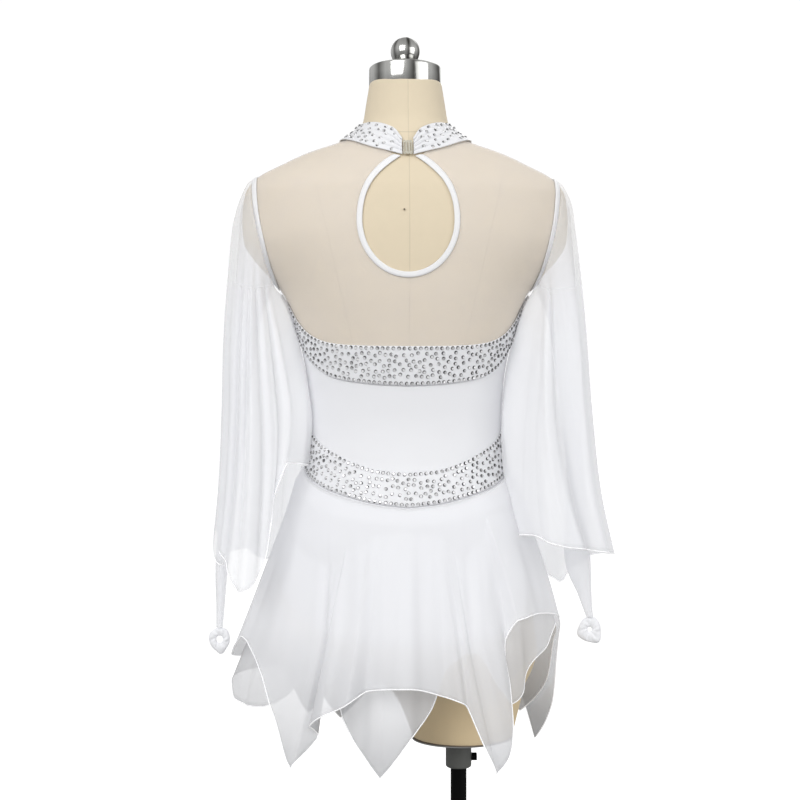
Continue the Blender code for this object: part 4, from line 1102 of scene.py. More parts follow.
def collar_place(at):
    """Angles and heights of the collar's lower and upper edge at a place along it."""
    i = min(int(at), len(COLLAR) - 2)
    wing = Wing(*(a + (b - a) * (at - i) for a, b in zip(COLLAR[i], COLLAR[i + 1])))
    front = at > COLLAR_SHOULDER
    return [(angle_at(max(across, 0.001) * MM, height * MM, front), height * MM)
            for across, height in ((wing.low_across, wing.low_height),
                                   (wing.top_across, wing.top_height))]


def ridge_height(share):
    """Height along the shoulder, from the armhole to the collar."""
    start = armhole_heights(YOKE_EDGE)[0] * MM
    end = COLLAR[COLLAR_SHOULDER].low_height * MM - RIDGE_DROP
    return start + (end - start) * share


WAIST_HEIGHTS = {}
WAIST_START, WAIST_ROUNDS = -0.065, 6


def waist_seam(turn):
    """Height of the waist band's lower edge towards a turn, found by going round."""
    key = round(turn, 2)
    if key not in WAIST_HEIGHTS:
        height = WAIST_START
        for _ in range(WAIST_ROUNDS):
            at = level(height)
            across = form_radius(turn, height) * abs(sin_of(turn))
            share = min(1.0, across / at.width) ** (at.square / 2)
            angle = math.degrees(math.asin(share))
            back = cos_of(turn) > 0
            height = edge("waist foot", angle if back else 180 - angle)
        WAIST_HEIGHTS[key] = height
    return WAIST_HEIGHTS[key]


HemRow = namedtuple("HemRow", "turn radius height")


class Layer:
    """A skirt layer's hem as curves of radius and height by turn."""

    def __init__(self, hem, out):
        rows = sorted(HemRow(math.degrees(math.atan2(f.across, -f.depth)),
                             math.hypot(f.across, f.depth) * MM, f.height * MM)
                      for f in hem)
        before = [HemRow(r.turn - 360, r.radius, r.height) for r in rows[-3:]]
        after = [HemRow(r.turn + 360, r.radius, r.height) for r in rows[:3]]
        rows = before + rows + after
        self.reach = Curve(rows, "turn", "radius")
        self.hem = Curve(rows, "turn", "height", HEM_POINT)
        self.out = out

    def hang(self, turn, height):
        """Radius towards a turn: a cone from the waist, then the layer's folds."""
        top = waist_seam(turn)
        start = form_radius(turn, top) + self.out
        s, c = abs(sin_of(turn)), cos_of(turn)
        mean = SKIRT_SIDE * s * s + (SKIRT_BACK if c > 0 else SKIRT_FRONT) * c * c
        t = max(0.0, (top - height) / (top - self.hem(turn)))
        return start + (mean - start) * t + (self.reach(turn) - mean) * t * t


UPPER = Layer(UPPER_HEM, SKIRT_TOP_OUT)
LOWER = Layer(LOWER_HEM, SKIRT_LOW_OUT)


def skirt_crease(turn, height):
    """How far the soft creases move both layers out."""
    top = waist_seam(turn)
    out = 0.0
    for crease in SKIRT_CREASES:
        t = (top - height) / (top - crease.full * MM)
        lean = SKIRT_LEAN * max(0.0, 1 - t) if abs(crease.turn) < SKIRT_BACK_END else 0.0
        away = turn_apart(turn, crease.turn * (1 + lean))
        if abs(away) < 3 * crease.spread:
            out += crease.out * bell_curve(away, crease.spread) * swell(t)
    return out * MM


def below_waist(turn, height):
    """0 at the waist seam, 1 where the skirt hangs free of it."""
    return min(1.0, max(0.0, (waist_seam(turn) - height) / EASE))


def lower_radius(turn, height):
    """The lower layer, held between the form and the upper layer."""
    crease = skirt_crease(turn, height)
    radius = LOWER.hang(turn, height) + crease
    ease = below_waist(turn, height)
    gap = SKIRT_TOP_OUT - SKIRT_LOW_OUT
    gap += (LAYER_GAP - gap) * ease
    inside = UPPER.hang(turn, height) + crease - gap
    share = swell((height - UPPER.hem(turn) + FREE_BELOW) / FREE_OVER)
    radius += (min(radius, inside) - radius) * share
    near = form_radius(turn, height) + SKIRT_LOW_OUT + (HIP_GAP - SKIRT_LOW_OUT) * ease
    return max(radius, near)


def upper_radius(turn, height):
    """The upper layer, held off the lower one."""
    radius = UPPER.hang(turn, height) + skirt_crease(turn, height)
    return max(radius, lower_radius(turn, height) + SKIRT_TOP_OUT - SKIRT_LOW_OUT)


def ring_point(ring, turn):
    """A point of a sleeve ring, turned from its outer end by the back."""
    s, c = sin_of(turn), cos_of(turn)
    outer = Vector((ring.out_across, 0, ring.out_height))
    inner = Vector((ring.in_across, 0, ring.in_height))
    reach = ring.back if s > 0 else ring.front
    point = (outer + inner) / 2 + (outer - inner) / 2 * signed_power(c, 2 / ring.square)
    return (point + Vector((0, -reach * signed_power(s, 2 / ring.square), 0))) * MM


def clear_of_body(point):
    """The point, moved out where it would come too near the body or the skirt."""
    ease = swell((BELL_FREE - point.z) / BELL_FREE_OVER)
    if ease <= 0:
        return point
    turn = math.degrees(math.atan2(point.x, -point.y))
    if point.z > waist_seam(turn):
        near = form_radius(turn, point.z) + SKIN_OUT + BELL_CLEAR + BELL_SPARE
    else:
        near = upper_radius(turn, max(point.z, BELL_FOOT)) + BELL_CLEAR
    radius = math.hypot(point.x, point.y)
    if radius >= near:
        return point
    grown = 1 + (near / radius - 1) * ease
    return Vector((point.x * grown, point.y * grown, point.z))


def along_points(points, share):
    """A place on a smooth line through points, at a share of their count."""
    at = share * (len(points) - 1)
    i = min(int(at), len(points) - 2)
    t = at - i
    p1, p2 = points[i], points[i + 1]
    p0 = points[i - 1] if i else p1 * 2 - p2
    p3 = points[i + 2] if i + 2 < len(points) else p2 * 2 - p1
    return (p1 * 2 + (p2 - p0) * t + (p0 * 2 - p1 * 5 + p2 * 4 - p3) * t * t
            + (p1 * 3 - p0 - p2 * 3 + p3) * t * t * t) / 2


def tube_of_cloth(rings, steps, shift, out, side, hem=None, pleats=(), fines=()):
    """A sleeve or bell from the armhole seam down through its rings, and its dips."""
    grid, dips = [], []
    for i in range(steps.round):
        turn = 360 * i / steps.round
        angle, height = armhole_place(shift, turn)
        outwards = Vector((cos_of(turn), -sin_of(turn), 0))
        pleat = sum(p.out * bell_curve(turn_apart(turn, p.angle), p.spread) for p in pleats)
        line = [body(angle, height, out)]
        for j, ring in enumerate(rings):
            point = ring_point(ring, turn)
            share = (j + 1) / len(rings)
            if hem:
                point.z += (hem(turn) * MM - ring_point(rings[-1], turn).z) * share ** 3
                point += outwards * pleat * MM * share ** FOLD_GROWTH
            line.append(point)
        column, deep = [], []
        for share in span(0, 1, steps.along):
            point = along_points(line, share)
            push = sum(f.out * bell_curve(turn_apart(turn - f.angle, f.lean * (1 - share)),
                                          f.spread) * swell(share / f.full) for f in fines)
            deep.append(-push / FINE_DIP - pleat * share ** 2 / PLEAT_DIP)
            point = point + outwards * push * MM
            if hem and share > 0:
                point = clear_of_body(point)
            column.append(Vector((side * point.x, point.y, point.z)))
        grid.append(column)
        dips.append(deep)
    return grid, dips


# Pieces, an operator for each or for a group of like ones

class Piece:
    """What the operators share: each builds its pieces and has then finished."""

    def execute(self, context):
        self.build(context.scene)
        return {"FINISHED"}


class DRESS_OT_form_cover(Piece, bpy.types.Operator):
    """The form's padded cover, smooth and whole, with its bottom rim and pin"""
    bl_idname = "dress.form_cover"
    bl_label = "Form cover"

    def build(self, scene):
        angles = [360 * i / COVER_STEPS.round for i in range(COVER_STEPS.round)]
        top, foot = FORM[0].height * MM, FORM[-1].height * MM
        rings = [[skin(a, h) for a in angles]
                 for h in span(top, foot + BOTTOM_TURN, COVER_STEPS.along)]
        middle = Vector((-FORM_X, 0, foot))
        for inset_by, up in BOTTOM_RINGS:
            rings.append([p + (middle - p).normalized() * inset_by + Vector((0, 0, up))
                          for p in (skin(a, foot) for a in angles)])
        rings.append([middle + Vector((sin_of(a), -cos_of(a), 0)) * BORE_RADIUS
                      for a in angles])
        for height in BORE_RINGS:
            rings.append([Vector((p.x, p.y, height)) for p in rings[-1]])
        grid = [[ring[i] for ring in rings] for i in range(len(angles))]
        made = cloth("form_cover", grid, "linen", 0, closed=True, flip=True)
        made.modifiers.clear()
        mesh = bmesh.new()
        mesh.from_mesh(made.data)
        bmesh.ops.holes_fill(mesh, edges=[e for e in mesh.edges if e.is_boundary])
        mesh.to_mesh(made.data)
        mesh.free()
        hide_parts("torso")
        rim = [body(a, foot + RIM.height, RIM.out) for a in angles]
        roll("thigh_rim", [rim], "rim", RIM.radius)
        at = body(PIN.angle, PIN.height, PIN.sunk)
        roll("centre_pin", [[at, at + way_out(0, PIN.height) * PIN.length]], "pin",
             PIN.radius, closed=False, sides=10)


def pick(made, kind, test):
    """Selects only the faces or edges that pass a test on their middle, in edit mode."""
    bpy.ops.mesh.select_mode(type=kind)
    mesh = bmesh.from_edit_mesh(made.data)
    for group in (mesh.verts, mesh.edges, mesh.faces):
        for item in group:
            item.select_set(False)
    for item in mesh.faces if kind == "FACE" else mesh.edges:
        points = [v.co for v in item.verts]
        middle = sum(points, Vector()) / len(points)
        way = item.normal if kind == "FACE" else points[1] - points[0]
        if test(middle, way):
            item.select_set(True)
    mesh.select_flush_mode()
    bmesh.update_edit_mesh(made.data)


def start(primitive, **settings):
    """Adds a primitive and goes into edit mode with its place in its mesh."""
    bpy.ops.object.select_all(action="DESELECT")
    primitive(**settings)
    made = bpy.context.object
    bpy.ops.object.transform_apply(location=True, rotation=True, scale=True)
    bpy.ops.object.mode_set(mode="EDIT")
    return made


def mode(name):
    bpy.ops.object.mode_set(mode=name)


def cylinder(steps, radius, low, high, x=0.0, y=0.0):
    """A cylinder between two heights, in edit mode."""
    return start(bpy.ops.mesh.primitive_cylinder_add, vertices=steps, radius=radius,
                 depth=high - low, location=(x, y, (low + high) / 2))


def bevel(offset, segments):
    """Rounds the picked edges."""
    bpy.ops.mesh.bevel(offset=offset, segments=segments, affect="EDGES")


def inset(thickness, depth=0.0, each=False):
    """Insets the picked faces, as one or each by itself."""
    bpy.ops.mesh.inset(thickness=thickness, depth=depth, use_individual=each)


def done(made, name, look, body_name, *nodes, angle=35):
    """Leaves edit mode, and gives the piece its name, look, body and nodes."""
    bpy.ops.mesh.select_all(action="SELECT")
    bpy.ops.mesh.normals_make_consistent(inside=False)
    mode("OBJECT")
    bpy.ops.object.shade_smooth_by_angle(angle=math.radians(angle))
    made.name = made.data.name = name
    made.data.materials.clear()
    made.data.materials.append(finish(look))
    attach(made, body_name)
    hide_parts(*nodes)
    return made


def level_way(middle, way):
    """Passes edges that lie level."""
    return abs(way.z) < FLAT


def upright_way(middle, way):
    """Passes faces that look up or down."""
    return abs(way.z) > UPRIGHT


def level_edges(height, beyond=0.0):
    """Passes level edges at a height, and no nearer to the pole than a radius."""
    return lambda middle, way: (level_way(middle, way) and middle.xy.length >= beyond
                                and abs(middle.z - height) < NEAR)


def join(made, others):
    """Joins the others into the first piece."""
    bpy.ops.object.select_all(action="DESELECT")
    for piece in [made] + others:
        piece.select_set(True)
    bpy.context.view_layer.objects.active = made
    bpy.ops.object.join()
    return made


class DRESS_OT_neck_hardware(Piece, bpy.types.Operator):
    """The chrome neck cap and the ball on it"""
    bl_idname = "dress.neck_hardware"
    bl_label = "Neck cap and ball"

    def build(self, scene):
        foot = WAIST_Z + NECK_CAP.foot
        high = foot + NECK_CAP.height
        made = cylinder(96, NECK_CAP.radius, foot, high, FORM_X, NECK_CAP.depth)
        pick(made, "EDGE", level_edges(high))
        bevel(NECK_CAP.top_bevel, 5)
        pick(made, "EDGE", level_edges(foot))
        bevel(NECK_CAP.foot_bevel, 2)
        pick(made, "FACE", lambda m, w: upright_way(m, w) and abs(m.z - high) < 5 * NEAR)
        inset(NECK_CAP.border)
        inset(NECK_CAP.step, NECK_CAP.step)
        done(made, "chrome_neck_cap", "chrome", "form", "neck_cap")

        centre = WAIST_Z + BALL.centre
        ball = start(bpy.ops.mesh.primitive_uv_sphere_add, segments=64, ring_count=40,
                     radius=BALL.radius, location=(FORM_X, 0, centre))
        pick(ball, "FACE", lambda m, w: m.z < centre - BALL.radius * BALL.cut)
        bpy.ops.mesh.delete(type="FACE")
        pick(ball, "EDGE", lambda m, w: m.z < centre - BALL.radius * BALL.rim)
        drop = high - centre + BALL.radius * BALL.cut
        bpy.ops.mesh.extrude_edges_move(TRANSFORM_OT_translate={"value": (0, 0, drop)})
        bpy.ops.mesh.edge_face_add()
        mode("OBJECT")
        low = high + BALL.collar_up - BALL.collar_thick / 2
        ring = cylinder(64, BALL.collar, low, low + BALL.collar_thick, FORM_X)
        pick(ring, "EDGE", level_way)
        bevel(BALL.bevel, 3)
        mode("OBJECT")
        join(ball, [ring])
        mode("EDIT")
        done(ball, "chrome_ball", "chrome", "form", "finial", angle=50)


def ring_solid(radius, bore, low, high, steps=64):
    """A ring round the pole, made from a cylinder by insetting and bridging its ends."""
    made = cylinder(steps, radius, low, high)
    pick(made, "FACE", upright_way)
    inset(radius - bore, each=True)
    pick(made, "FACE", lambda m, w: upright_way(m, w) and m.xy.length < FLAT)
    bpy.ops.mesh.bridge_edge_loops()
    return made


def every_third(middle, way):
    """Passes every third rib of the thumb screw's round side."""
    rib = math.atan2(way.z, way.y) / (2 * math.pi) * SCREW.ribs
    return abs(way.x) < 0.5 and round(rib - 0.5) % 3 == 0


class DRESS_OT_stand(Piece, bpy.types.Operator):
    """The foot plate, socket, thumb screw, pole and base"""
    bl_idname = "dress.stand"
    bl_label = "Stand"

    def build(self, scene):
        foot = WAIST_Z + PLATE.foot
        low = foot - PLATE.thick
        plate = ring_solid(PLATE.radius, BORE_RADIUS, low, foot, 96)
        pick(plate, "EDGE", level_edges(low, PLATE.radius - RIM_REACH))
        bevel(PLATE.bevel, 2)
        mode("OBJECT")
        heads = []
        low -= HEADS.drop + HEADS.thick / 2
        for k in range(HEADS.count):
            turn = math.radians(HEADS.turn + 360 / HEADS.count * k)
            head = cylinder(20, HEADS.radius, low, low + HEADS.thick,
                            HEADS.out * math.cos(turn), HEADS.out * math.sin(turn))
            pick(head, "EDGE", level_edges(low))
            bevel(HEADS.bevel, 2)
            mode("OBJECT")
            heads.append(head)
        join(plate, heads)
        mode("EDIT")
        done(plate, "steel_foot_plate", "steel", "form", "form_plate")

        low, high = WAIST_Z + SOCKET.foot, WAIST_Z + SOCKET.top
        socket = ring_solid(SOCKET.radius, POLE.radius + FIT_GAP, low, high)
        pick(socket, "EDGE", level_edges(low, SOCKET.radius - RIM_REACH))
        bevel(SOCKET.lip, 4)
        done(socket, "grey_socket", "grey", "form", "socket")

        reach = SOCKET.radius + FIT_GAP
        screw = start(bpy.ops.mesh.primitive_cylinder_add, vertices=SCREW.ribs,
                      radius=SCREW.radius, depth=SCREW.length,
                      location=(reach + SCREW.length / 2, 0, WAIST_Z + SCREW.height),
                      rotation=(0, math.pi / 2, 0))
        pick(screw, "FACE", every_third)
        inset(SCREW.rib_edge, -SCREW.rib_deep, each=True)
        pick(screw, "FACE", lambda m, w: w.x > UPRIGHT)
        inset(SCREW.rim)
        inset(SCREW.step, -SCREW.step)
        done(screw, "black_thumb_screw", "black", "form", "thumb_screw")

        pole = cylinder(POLE.steps, POLE.radius, POLE.foot, WAIST_Z + POLE.top)
        pick(pole, "EDGE", level_way)
        bevel(POLE.bevel, 3)
        done(pole, "black_pole", "black", "pole", "pole")

        high = BASE.thick - BASE.drop
        base = cylinder(128, BASE.radius, 0, high)
        pick(base, "FACE", lambda m, w: upright_way(m, w) and abs(m.z - high) < NEAR)
        inset(BASE.border, BASE.drop)
        inset(BASE.radius - BASE.border - BASE.hub - BASE.fillet, BASE.rise)
        inset(BASE.fillet, BASE.climb)
        climb = BASE.hub_height - BASE.thick - BASE.rise - BASE.climb
        bpy.ops.mesh.extrude_region_move(TRANSFORM_OT_translate={"value": (0, 0, climb)})
        pick(base, "EDGE", lambda m, w: level_way(m, w)
             and (m.z > BASE.hub_height - RIM_REACH or m.xy.length > BASE.radius - BASE.bevel))
        bevel(BASE.bevel, 3)
        done(base, "black_base", "black", "base", "base", angle=30)


class DRESS_OT_back_yoke(Piece, bpy.types.Operator):
    """The sheer back and shoulders, a horseshoe round the keyhole"""
    bl_idname = "dress.back_yoke"
    bl_label = "Back yoke"

    def build(self, scene):
        turns = YOKE_TURN
        outer = []
        for angle in span(0, SIDE_END, YOKE_STEPS.band):
            height = edge("bust top", angle) - UNDER
            outer.append((turns.underarm * angle / 90, (skin(angle, height).x, height)))
        for i in range(YOKE_STEPS.arm + 1):
            angle, height = armhole_place(YOKE_EDGE, 180 - 180 * i / YOKE_STEPS.arm)
            turn = turns.underarm + (turns.shoulder - turns.underarm) * i / YOKE_STEPS.arm
            place = skin(min(angle, 90 - RIDGE_GAP), height).x
            outer.append((turn, (place, height)))
        for share in span(0, 1, YOKE_STEPS.shoulder)[1:]:
            turn = turns.shoulder + (turns.neck - turns.shoulder) * share
            height = ridge_height(share)
            outer.append((turn, (skin(90 - RIDGE_GAP, height).x, height)))
        for at in span(COLLAR_SHOULDER, 1.0, YOKE_STEPS.collar)[1:]:
            angle, height = collar_place(at)[0]
            share = (COLLAR_SHOULDER - at) / (COLLAR_SHOULDER - 1.0)
            turn = turns.neck + (turns.end - turns.neck) * share
            outer.append((turn, (skin(angle, height + UNDER).x, height + UNDER)))
        half = []
        for turn, far in outer:
            near = hole_point(HOLE_OUTER, turn, KEYHOLE_UNDER)
            half.append([[n + (f - n) * s for n, f in zip(near, far)]
                         for s in span(0, 1, YOKE_STEPS.back_rows)])
        grid = [[on_back(-x, z, SKIN_OUT) for x, z in line] for line in reversed(half[1:])]
        grid += [[on_back(x, z, SKIN_OUT) for x, z in line] for line in half]
        made = cloth("back_net", grid, "net", sizes().chiffon_wall, flip=True)
        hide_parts("back_yoke")


class DRESS_OT_front_yoke(Piece, bpy.types.Operator):
    """The sheer front, up to the shoulders and the collar"""
    bl_idname = "dress.front_yoke"
    bl_label = "Front yoke"

    def build(self, scene):
        tops = [(collar_place(at)[0][0], collar_place(at)[0][1] + UNDER)
                for at in span(len(COLLAR) - 1, COLLAR_SHOULDER + 0.02, YOKE_STEPS.collar)]
        tops += [(90 + RIDGE_GAP, ridge_height(share))
                 for share in span(1, 0, YOKE_STEPS.shoulder)[1:]]
        arm_foot = armhole_place(YOKE_EDGE, 180)[1]
        feet = span(180, 180 - FRONT_END, YOKE_STEPS.band) + [None]
        rows = YOKE_STEPS.front_rows
        half = []
        for i, (angle, high) in enumerate(tops):
            place = i * (len(feet) - 1) / (len(tops) - 1)
            k = min(int(place), len(feet) - 2)
            ends = []
            for foot in feet[k:k + 2]:
                foot_angle = 90 + RIDGE_GAP if foot is None else foot
                low = arm_foot if foot is None else edge("bust top", foot) - UNDER
                ends.append((skin(foot_angle, low).x / (SEAM_CURVE(low / MM) * MM), low))
            first = [a + (b - a) * (place - k) for a, b in zip(*ends)]
            last = (skin(angle, high).x / (SEAM_CURVE(high / MM) * MM), high)
            column = []
            for j in range(rows + 1):
                share = (1 - math.cos(math.pi * j / rows)) / 2
                height = first[1] + (last[1] - first[1]) * share
                across = first[0] + (last[0] - first[0]) * share
                across *= SEAM_CURVE(height / MM) * MM
                if i == len(tops) - 1:
                    edge_angle, height = armhole_place(YOKE_EDGE, 180 + j * 180 / rows)
                    across = skin(edge_angle, height).x
                column.append((max(across, 0.00001), height))
            half.append(column)
        grid = []
        for side, part in ((-1, half[:0:-1]), (1, half)):
            for column in part:
                grid.append([body(angle_at(side * x, z, True), z, SKIN_OUT)
                             for x, z in column])
        made = cloth("front_net", grid, "net", sizes().chiffon_wall, flip=True)
        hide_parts("front_yoke")


class DRESS_OT_keyhole_edge(Piece, bpy.types.Operator):
    """The white elastic round the keyhole"""
    bl_idname = "dress.keyhole_edge"
    bl_label = "Keyhole edge"

    def build(self, scene):
        grid = []
        for share in span(-1, 1, KEYHOLE_STEPS.round):
            inner = hole_point(HOLE_INNER, abs(share) * HOLE_INNER.reach)
            outer = hole_point(HOLE_OUTER, abs(share) * HOLE_OUTER.reach)
            side = math.copysign(1, share)
            grid.append([on_back(side * (inner[0] + (outer[0] - inner[0]) * s),
                                 inner[1] + (outer[1] - inner[1]) * s,
                                 SKIN_OUT + EDGE_RISE + round_share(s, EDGE_CROWN))
                         for s in span(0, 1, KEYHOLE_STEPS.along)])
        made = cloth("keyhole_elastic", grid, "elastic", sizes().band_wall, flip=True)
        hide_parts("keyhole_binding")


Place = namedtuple("Place", "place value")


def back_wing(field):
    """A field of the collar's rows up to the shoulder, as a curve."""
    rows = enumerate(COLLAR[:COLLAR_SHOULDER + 1])
    return Curve([Place(i, getattr(row, field)) for i, row in rows], "place", "value")


class DRESS_OT_collar(Piece, bpy.types.Operator):
    """The gathered collar, drawn into the clasp at the centre back"""
    bl_idname = "dress.collar"
    bl_label = "Collar"

    def build(self, scene):
        wings = [back_wing(field)
                 for field in ("low_across", "low_height", "top_across", "top_height")]
        last = len(COLLAR) - 1
        half = []
        for at in span(0, last, COLLAR_STEPS.round):
            at = max(at, 0.001)
            (low_angle, low), (top_angle, top) = collar_place(at)
            if at < COLLAR_SHOULDER:
                low_x, low_z, top_x, top_z = (w(at) for w in wings)
                low, top = low_z * MM, top_z * MM
                low_angle = angle_at(low_x * MM, low)
                top_angle = angle_at(top_x * MM, top)
            half.append((at, low_angle, low, top_angle, top))
        grid, dips = [], []
        for side, part in ((1, half), (-1, half[-2::-1])):
            for at, low_angle, low, top_angle, top in part:
                run = at * COLLAR_RUN
                column, deep = [], []
                for s in span(0, 1, COLLAR_STEPS.along):
                    height = low + (top - low) * s
                    angle = low_angle + (top_angle - low_angle) * s
                    out = BAND_OUT + COLLAR_RISE + round_share(s, EDGE_CROWN)
                    push = sum(g.out * math.exp(-(run / g.reach) ** GATHER_POWER)
                               * bell_curve(s - g.across, g.spread) for g in COLLAR_GATHERS)
                    column.append(body(side * angle, height, out + push * MM))
                    deep.append(-push / COLLAR_DIP)
                grid.append(column)
                dips.append(deep)
        made = cloth("gathered_collar", grid, "bands", sizes().band_wall, dips=dips)
        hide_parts("collar")


class DRESS_OT_clasp(Piece, bpy.types.Operator):
    """The clear clasp of three upright rings"""
    bl_idname = "dress.clasp"
    bl_label = "Clasp"

    def build(self, scene):
        middle = Vector(place_all([body(0, CLASP.height, BAND_OUT + CLASP.out)])[0])
        out = way_out(0, CLASP.height)
        turn = Matrix.Rotation(-math.atan2(out.z, -out.y), 4, "X")
        rings = []
        step = CLASP.width / CLASP.rings
        half_run = CLASP.length / 2 - step / 2
        for k in range(CLASP.rings):
            ring = start(bpy.ops.mesh.primitive_torus_add, major_segments=32,
                         minor_segments=10, major_radius=step / 2 - CLASP.gap,
                         minor_radius=CLASP.wire, rotation=(math.pi / 2, 0, 0))
            for way in (-1, 1):
                mesh = bmesh.from_edit_mesh(ring.data)
                for vert in mesh.verts:
                    vert.select_set(vert.co.z * way > FLAT)
                mesh.select_flush_mode()
                bmesh.update_edit_mesh(ring.data)
                bpy.ops.transform.translate(value=(0, 0, way * half_run))
            mode("OBJECT")
            side = Vector(((k - (CLASP.rings - 1) / 2) * step, 0, 0))
            ring.data.transform(Matrix.Translation(middle) @ turn @ Matrix.Translation(side))
            rings.append(ring)
        bars = []
        for way in (-1, 1):
            bar = start(bpy.ops.mesh.primitive_cube_add, size=1,
                        scale=(CLASP.width - BAR.in_side, BAR.thick, BAR.high))
            pick(bar, "EDGE", lambda m, w: True)
            bevel(BAR.bevel, 2)
            mode("OBJECT")
            spot = Matrix.Translation((0, -BAR.back, way * (CLASP.length / 2 - BAR.from_end)))
            bar.data.transform(Matrix.Translation(middle) @ turn @ spot)
            bars.append(bar)
        made = join(rings[0], rings[1:] + bars)
        mode("EDIT")
        done(made, "clear_ring_clasp", "clear", "form", "clasp", angle=50)


class DRESS_OT_armhole_edges(Piece, bpy.types.Operator):
    """The elastic strips on the armhole seams"""
    bl_idname = "dress.armhole_edges"
    bl_label = "Armhole edges"

    def build(self, scene):
        for tag, side in (("left", -1), ("right", 1)):
            grid = []
            for i in range(STRIP_STEPS.round):
                turn = 360 * i / STRIP_STEPS.round
                half = STRIP_HALF + STRIP_WIDER * (1 + cos_of(turn)) / 2
                column = []
                for s in span(0, 1, STRIP_STEPS.along):
                    angle, height = armhole_place(half * (2 * s - 1), turn)
                    column.append(body(side * angle, height,
                                       SKIN_OUT + EDGE_RISE + round_share(s, BAND_CROWN)))
                grid.append(column)
            made = cloth("armhole_elastic_" + tag, grid, "elastic", STRIP_WALL,
                         closed=True, flip=side < 0)
            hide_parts("armhole_binding_" + tag)


class DRESS_OT_bands(Piece, bpy.types.Operator):
    """The stoned bands round the chest and the waist"""
    bl_idname = "dress.bands"
    bl_label = "Bands"

    def build(self, scene):
        wall = sizes().band_wall
        for name, foot, top, middle, area in (
                ("bust_band_back", "bust foot", "bust top", 0, 0.0152),
                ("bust_band_front", "bust foot", "bust top", 180, 0.0190),
                ("waist_band_back", "waist foot", "waist top", 0, 0.0150),
                ("waist_band_front", "waist foot", "waist top", 180, 0.0158)):
            made = close_panel(name + "_cloth", foot, top, middle, BAND_STEPS, "bands",
                               wall, BAND_OUT, BAND_CROWN)
            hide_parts(name)


class DRESS_OT_body_panels(Piece, bpy.types.Operator):
    """The plain midriff, the front panel and the brief"""
    bl_idname = "dress.body_panels"
    bl_label = "Midriff, front and brief"

    def build(self, scene):
        wall = sizes().stretch_wall
        for name, middle, area in (("midriff_back", 0, 0.031), ("bodice_front", 180, 0.042)):
            made = close_panel(name + "_cloth", "waist top", "bust foot", middle,
                               PANEL_STEPS, "matt", wall, SKIN_OUT, under=UNDER)
            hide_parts(name)
        grid = []
        for i in range(BRIEF_STEPS.round):
            angle = 360 * i / BRIEF_STEPS.round
            turn = angle if angle <= 180 else 360 - angle
            high, low = edge("waist foot", turn) + UNDER, edge("brief foot", turn)
            grid.append([body(angle, h, SKIN_OUT)
                         for h in span(low, high, BRIEF_STEPS.along)])
        made = cloth("brief_cloth", grid, "matt", wall, closed=True)
        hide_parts("brief")


class DRESS_OT_skirt(Piece, bpy.types.Operator):
    """The two chiffon layers with rolled handkerchief hems"""
    bl_idname = "dress.skirt"
    bl_label = "Skirt"

    def build(self, scene):
        for tag, layer, radius, flat in (
                ("lower", LOWER, lower_radius, (1.30, 0.36)),
                ("upper", UPPER, upper_radius, (1.34, 0.36))):
            grid, dips = [], []
            for i in range(SKIRT_STEPS.round):
                turn = -180 + 360 * i / SKIRT_STEPS.round
                top = waist_seam(turn) - WAIST_DROP
                foot = layer.hem(turn)
                s, c = sin_of(turn), cos_of(turn)
                column, deep = [], []
                for share in span(1, 0, SKIRT_STEPS.along):
                    height = top + (foot - top) * share
                    r = radius(turn, height)
                    column.append(Vector((r * s, -r * c, height)))
                    deep.append(-skirt_crease(turn, height) / SKIRT_DIP)
                grid.append(column)
                dips.append(deep)
            made = cloth("skirt_%s_chiffon" % tag, grid, "chiffon",
                         sizes().chiffon_wall, closed=True, dips=dips)
            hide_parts("skirt_" + tag)
            hem = roll("skirt_%s_hem" % tag, [[column[0] for column in grid]], "hem",
                       sizes().hem_roll)
            rests = ["brief_cloth"] if tag == "lower" else ["skirt_lower_chiffon"]
            flat[0] * flat[1] * SKIRT_CUT
            rests + ["waist_band_back_cloth"]


class DRESS_OT_sleeves(Piece, bpy.types.Operator):
    """The close sleeves that run out into narrow strips"""
    bl_idname = "dress.sleeves"
    bl_label = "Close sleeves"

    def build(self, scene):
        for tag, side, rings in (("left", -1, SLEEVE_LEFT), ("right", 1, SLEEVE_RIGHT)):
            grid, _ = tube_of_cloth(rings, SLEEVE_STEPS, SLEEVE_EDGE, SLEEVE_OUT, side)
            made = cloth("close_sleeve_" + tag, grid, "sleeve", sizes().chiffon_wall,
                         closed=True, flip=side < 0)
            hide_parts("sleeve_" + tag)
            "armhole_elastic_" + tag


class DRESS_OT_bells(Piece, bpy.types.Operator):
    """The loose bells over the sleeves, with rolled hems"""
    bl_idname = "dress.bells"
    bl_label = "Bells"

    def build(self, scene):
        for tag, side, rings, hem, pleats, flat in (
                ("left", -1, BELL_LEFT, LEFT_HEM_CURVE, LEFT_PLEATS, (0.50, 0.46)),
                ("right", 1, BELL_RIGHT, RIGHT_HEM_CURVE, RIGHT_PLEATS, (0.54, 0.48))):
            fines = BELL_CREASES + (LEFT_CREASES if side < 0 else RIGHT_CREASES)
            grid, dips = tube_of_cloth(rings, BELL_STEPS, BELL_EDGE, BELL_OUT, side, hem,
                                       pleats, fines)
            made = cloth("loose_bell_" + tag, grid, "sleeve", sizes().chiffon_wall,
                         closed=True, flip=side < 0, dips=dips)
            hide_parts("bell_" + tag)
            edge_roll = roll("bell_hem_" + tag, [[column[-1] for column in grid]], "hem",
                             sizes().hem_roll)
            flat[0] * flat[1] * BELL_CUT
            "armhole_elastic_" + tag


